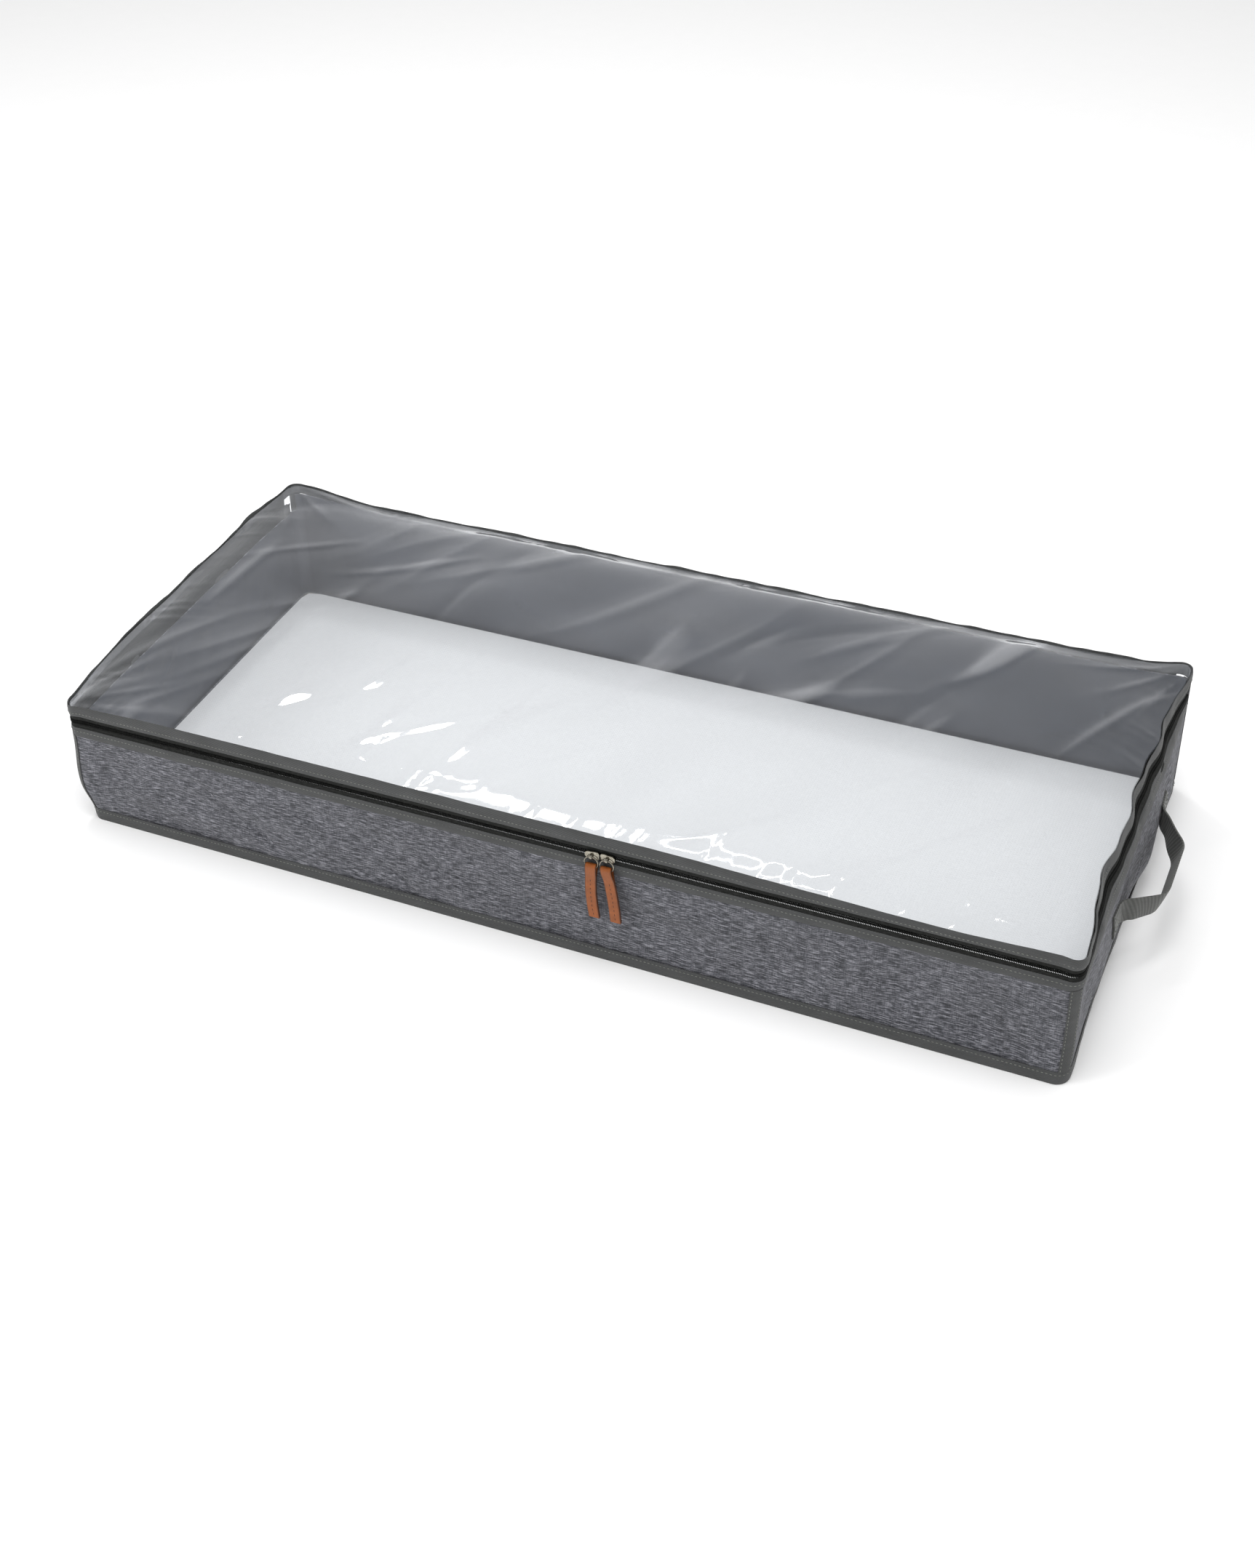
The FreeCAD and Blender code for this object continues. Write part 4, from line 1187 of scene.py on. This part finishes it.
def round_edges(piece, width):
    """Bevels a piece's sharp edges and makes the result its mesh."""
    modifier = piece.modifiers.new("Edges", "BEVEL")
    modifier.width = width
    modifier.segments = 2
    modifier.limit_method = "ANGLE"
    modifier.angle_limit = math.radians(35)
    evaluated = piece.evaluated_get(bpy.context.evaluated_depsgraph_get())
    mesh = bpy.data.meshes.new_from_object(evaluated)
    piece.modifiers.clear()
    piece.data = mesh
    mesh.polygons.foreach_set("use_smooth", np.ones(len(mesh.polygons), dtype=bool))
    mesh.set_sharp_from_angle(angle=math.radians(40))


class BEDBOX_OT_pulls(BedBoxOperator, bpy.types.Operator):
    """The two folded leather pulls with their centre stitching"""

    bl_idname = "bedbox.pulls"
    bl_label = "Leather pulls"

    def execute(self, context):
        leather = tan_leather(context.scene.bed_box_colours)
        leans = {"left": (math.radians(1.5), -2.0 * MM), "right": (math.radians(7.5), 1.0 * MM)}
        for side in SIDES:
            lean, bow = leans[side]
            self.pull(side, leather, lean, bow)
        return {"FINISHED"}

    def pull(self, side, leather, lean, bow):
        """The strip goes up the back, over the ring and down the front. lean turns it in its
        own plane, and bow bends it sideways."""
        low, high = (np.array(corner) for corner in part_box(f"{side}_leather_pull"))
        wire = np.array(JOINTS[f"{side}_pull_swing"]["pos_m"])
        half_width = (high[0] - low[0]) / 2
        hole, skin = 1.9 * MM, 1.2 * MM
        fold = 1.9 * MM
        tip = low[2] - wire[2]
        layers = []
        for radius, closing in ((hole + skin, 1.3 * MM), (hole, 0.05 * MM)):
            line = [(closing, tip), (closing, tip * 0.75), (closing, tip * 0.5), (closing, tip * 0.3),
                    (closing * 0.99, -10 * MM), (radius * 0.6 + closing * 0.4, -5.5 * MM), (radius, -1 * MM)]
            line += [(radius * math.cos(a), fold + radius * math.sin(a)) for a in np.linspace(0, math.pi, 11)]
            line += [(-y, z) for y, z in reversed(line[:7])]
            layers.append(np.array(line))
        xs = np.array([-1, -0.94, -0.5, 0, 0.5, 0.94, 1]) * half_width
        grids = []
        for k, layer in enumerate(layers):
            grid = np.zeros((len(layer), len(xs), 3))
            for j, x in enumerate(xs):
                rounding = 0.18 * MM if k == 0 and abs(x) > 0.97 * half_width else 0.0
                y = layer[:, 0] - np.sign(layer[:, 0]) * rounding
                grid[:, j] = np.column_stack([np.full(len(layer), x), y, layer[:, 1]])
            grids.append(grid)
        for grid in grids:
            depth = -grid[:, :, 2] / abs(tip)
            sideways = np.tan(lean) * -grid[:, :, 2] + bow * np.sin(np.clip(depth, 0, 1) * math.pi)
            grid[:, :, 0] += sideways
            grid += wire
        along = np.cumsum(np.r_[0, np.linalg.norm(np.diff(layers[0], axis=0), axis=1)])
        place = np.stack(np.meshgrid(along, xs, indexing="ij"), axis=2)
        piece = shell(f"{side}_pull_leather", grids[0], grids[1], leather, place)
        body = f"{side}_pull"
        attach(piece, body)
        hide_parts(f"{side}_leather_pull")
        depths = np.linspace(-14 * MM, tip + 4 * MM, 20)
        for face, normal in (("front", -1.0), ("back", 1.0)):
            x = wire[0] + np.tan(lean) * -depths + bow * np.sin(np.clip(-depths / abs(tip), 0, 1) * math.pi)
            points = np.column_stack([x, np.full(20, wire[1] + normal * 1.3 * MM), wire[2] + depths])
            normals = np.tile([0.0, normal, 0.0], (20, 1))
            shape = pill("pull_stitch", 3.0 * MM, 0.35 * MM, 0.6 * MM, rings=5, sides=6)
            stitches = copies_along(f"{side}_pull_{face}_stitches", [(points, normals, False)], shape,
                                    4.4 * MM, waxed_thread())
            bpy.data.objects.remove(shape)
            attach(stitches, body)


class BEDBOX_OT_handles(BedBoxOperator, bpy.types.Operator):
    """The webbing handle on each end, whole from one sewn end to the other"""

    bl_idname = "bedbox.handles"
    bl_label = "Handles"

    def execute(self, context):
        cloth, colours = self.settings(context)
        webbing = ribbed_webbing(colours)
        for side, direction in (("left", -1), ("right", 1)):
            self.handle(side, direction, webbing, colours, cloth)
        return {"FINISHED"}

    def handle(self, side, direction, webbing, colours, cloth):
        """One strap: a sewn end, a slanting leg, the outer run, a leg and a sewn end."""
        loop_low, loop_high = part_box(f"{side}_handle_loop")
        middle_z = (loop_low[2] + loop_high[2]) / 2
        half_width = (loop_high[2] - loop_low[2]) / 2
        wall = HALF_X - TAPE
        reach = max(abs(loop_low[0]), abs(loop_high[0])) - wall
        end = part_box(f"{side}_handle_patches")[1][1]
        thick, gap = 1.6 * MM, 0.2 * MM
        span, knee = end - 27 * MM, end - 66 * MM
        slack = 22 * MM
        corners = [(gap, slack - end), (gap, slack - span), (reach - thick, 0.6 * slack - knee),
                   (reach - thick, knee), (gap, span), (gap, end)]
        path = soft_path(corners, 9 * MM)
        along = np.r_[0, np.cumsum(np.linalg.norm(np.diff(path, axis=0), axis=1))]
        tangent = np.gradient(path, axis=0)
        tangent /= np.linalg.norm(tangent, axis=1)[:, None]
        normal = np.column_stack([tangent[:, 1], -tangent[:, 0]])
        hung = smooth(path[:, 0], 0, reach)
        outer, inner, place = [], [], []
        for v in np.linspace(-1, 1, 9):
            height = middle_z + v * half_width - 5 * MM * hung
            cup = 0.35 * MM * (1 - v * v)
            lean = 4 * MM * v * hung
            hug = -sunk(cloth, side, path[:, 1], height) * (1 - smooth(path[:, 0], 0, 10 * MM))
            for layer, depth in ((outer, thick + cup), (inner, cup)):
                at = path + normal * depth
                stiff = np.column_stack([direction * (wall + at[:, 0] + lean + hug), at[:, 1], height])
                layer.append(stiff + (slump(stiff) - stiff) * (1 - hung)[:, None])
            place.append(np.column_stack([along, np.full_like(along, v * half_width)]))
        outer, inner, place = (np.stack(grid, axis=1) for grid in (outer, inner, place))
        piece = shell(f"{side}_handle_webbing", outer, inner, webbing, place)
        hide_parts(f"{side}_handle_loop", f"{side}_handle_ends", f"{side}_handle_patches")
        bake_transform(piece)
        lines = []
        for sign, drawn in ((-1, slack), (1, 0)):
            lines.extend(self.end_seam(
                cloth, side, direction, wall + gap + thick + 0.45 * MM, sign, span - drawn + 3 * MM,
                end - drawn - 3 * MM, middle_z, half_width - 3 * MM))
        sew(f"{side}_handle_stitches", lines, "box", colours, cloth)

    def end_seam(self, cloth, side, direction, x, sign, near, far, z, half):
        """A sewn rectangle with a cross in it."""
        corners = [(near, -half), (far, -half), (far, half), (near, half)]
        pairs = [(0, 1), (1, 2), (2, 3), (3, 0), (0, 2), (1, 3)]
        lines = []
        for a, b in pairs:
            share = np.linspace(0, 1, 12)
            y = sign * (corners[a][0] + (corners[b][0] - corners[a][0]) * share)
            up = z + corners[a][1] + (corners[b][1] - corners[a][1]) * share
            points = slump(np.column_stack([direction * (x - sunk(cloth, side, y, up)), y, up]))
            lines.append((points, np.tile([float(direction), 0.0, 0.0], (12, 1)), False))
        return lines


def soft_path(corners, radius, step=1.5 * MM):
    """A line through corners, each rounded by an arc-like curve."""
    corners = np.asarray(corners, dtype=float)
    points = [corners[0]]
    for before, corner, after in zip(corners, corners[1:], corners[2:]):
        to_before, to_after = before - corner, after - corner
        cut = min(radius, 0.45 * np.linalg.norm(to_before), 0.45 * np.linalg.norm(to_after))
        start = corner + to_before / np.linalg.norm(to_before) * cut
        end = corner + to_after / np.linalg.norm(to_after) * cut
        for share in np.linspace(0, 1, 9):
            points.append((1 - share) ** 2 * start + 2 * share * (1 - share) * corner + share ** 2 * end)
    points.append(corners[-1])
    points = np.asarray(points)
    steps = np.linalg.norm(np.diff(points, axis=0), axis=1)
    keep = np.r_[True, steps > 1e-7]
    points = points[keep]
    along = np.r_[0, np.cumsum(np.linalg.norm(np.diff(points, axis=0), axis=1))]
    even = np.linspace(0, along[-1], max(8, round(along[-1] / step)))
    return np.column_stack([np.interp(even, along, points[:, k]) for k in (0, 1)])


class BEDBOX_OT_stage(BedBoxOperator, bpy.types.Operator):
    """The camera, the pale floor and the soft studio lights"""

    bl_idname = "bedbox.stage"
    bl_label = "Stage"

    def execute(self, context):
        self.camera(context)
        self.floor()
        self.lights(context)
        return {"FINISHED"}

    def camera(self, context):
        azimuth, elevation, roll = (math.radians(a) for a in (23.41, 37.96, -1.24))
        distance = 2.241
        target = Vector((-0.0153, 0.0253, 0.0))
        back = Vector((math.sin(azimuth) * math.cos(elevation), -math.cos(azimuth) * math.cos(elevation),
                       math.sin(elevation)))
        level = Vector((math.cos(azimuth), math.sin(azimuth), 0))
        upright = back.cross(level)
        right = level * math.cos(roll) + upright * math.sin(roll)
        up = upright * math.cos(roll) - level * math.sin(roll)
        data = bpy.data.cameras.new("Camera")
        data.lens = 50.63
        data.clip_start = 0.05
        camera = new_object("Camera", data)
        turned = Matrix((right, up, back)).transposed().to_4x4()
        camera.matrix_world = Matrix.Translation(target + back * distance) @ turned
        context.scene.camera = camera

    def floor(self):
        mesh = bpy.data.meshes.new("floor")
        reach = 12.0
        mesh.from_pydata([(-reach, -reach, 0), (reach, -reach, 0), (reach, reach, 0), (-reach, reach, 0)],
                         [], [(0, 1, 2, 3)])
        mesh.materials.append(paper_sweep())
        floor = new_object("floor", mesh)

    def lights(self, context):
        world = bpy.data.worlds.new("studio")
        world.use_nodes = True
        world.node_tree.nodes["Background"].inputs[0].default_value = (1.0, 1.0, 1.0, 1)
        world.node_tree.nodes["Background"].inputs[1].default_value = 0.62
        context.scene.world = world
        context.scene.view_settings.view_transform = "Standard"
        boxes = {
            "high_strip": ((-0.75, 0.85, 2.7), (-0.1, -0.1, 0.15), (1.2, 0.09), 9.0),
            "window": ((-1.05, 1.15, 2.5), (-0.1, -0.1, 0.15), (0.3, 0.3), 9.0),
            "overhead_softbox": ((0.5, -0.3, 2.9), (0.0, 0.0, 0.05), (2.0, 1.2), 48.0),
            "front_softbox": ((-2.2, -1.9, 1.6), (0.0, 0.0, 0.05), (1.2, 1.0), 34.0),
        }
        for name, (place, aim, extent, power) in boxes.items():
            data = bpy.data.lights.new(name, "AREA")
            data.shape = "RECTANGLE"
            data.size, data.size_y = extent
            data.energy = power
            lamp = bpy.data.objects.new(name, data)
            lamp.location = place
            # The softboxes only fill. The film's highlights come from the strip and the window.
            lamp.visible_glossy = "softbox" not in name
            lamp.rotation_euler = (Vector(aim) - Vector(place)).to_track_quat("-Z", "Y").to_euler()
            context.scene.collection.objects.link(lamp)


STEPS = (
    BEDBOX_OT_base, BEDBOX_OT_walls, BEDBOX_OT_bindings, BEDBOX_OT_zip, BEDBOX_OT_film,
    BEDBOX_OT_lid_tape, BEDBOX_OT_sliders, BEDBOX_OT_pulls, BEDBOX_OT_handles, BEDBOX_OT_stage,
)


class BEDBOX_PT_panel(bpy.types.Panel):
    """Lists the settings and the steps"""

    bl_idname = "BEDBOX_PT_panel"
    bl_label = "Under bed box"
    bl_space_type = "VIEW_3D"
    bl_region_type = "UI"
    bl_category = "Bed Box"

    def draw(self, context):
        for group in GROUPS:
            settings = getattr(context.scene, group)
            for name in settings.bl_rna.properties.keys():
                if name not in ("rna_type", "name"):
                    self.layout.prop(settings, name)
        for step in STEPS:
            self.layout.operator(step.bl_idname)


GROUPS = {
    "bed_box_cloth": BedBoxCloth,
    "bed_box_zip": BedBoxZip,
    "bed_box_film": BedBoxFilm,
    "bed_box_colours": BedBoxColours,
}
CLASSES = (*GROUPS.values(), *STEPS, BEDBOX_PT_panel)


def register():
    for made in CLASSES:
        bpy.utils.register_class(made)
    for name, group in GROUPS.items():
        setattr(bpy.types.Scene, name, bpy.props.PointerProperty(type=group))


def unregister():
    for name in GROUPS:
        delattr(bpy.types.Scene, name)
    for made in reversed(CLASSES):
        bpy.utils.unregister_class(made)


def main():
    register()
    for step in STEPS:
        group, name = step.bl_idname.split(".")
        getattr(getattr(bpy.ops, group), name)()


if __name__ == "__main__":
    main()
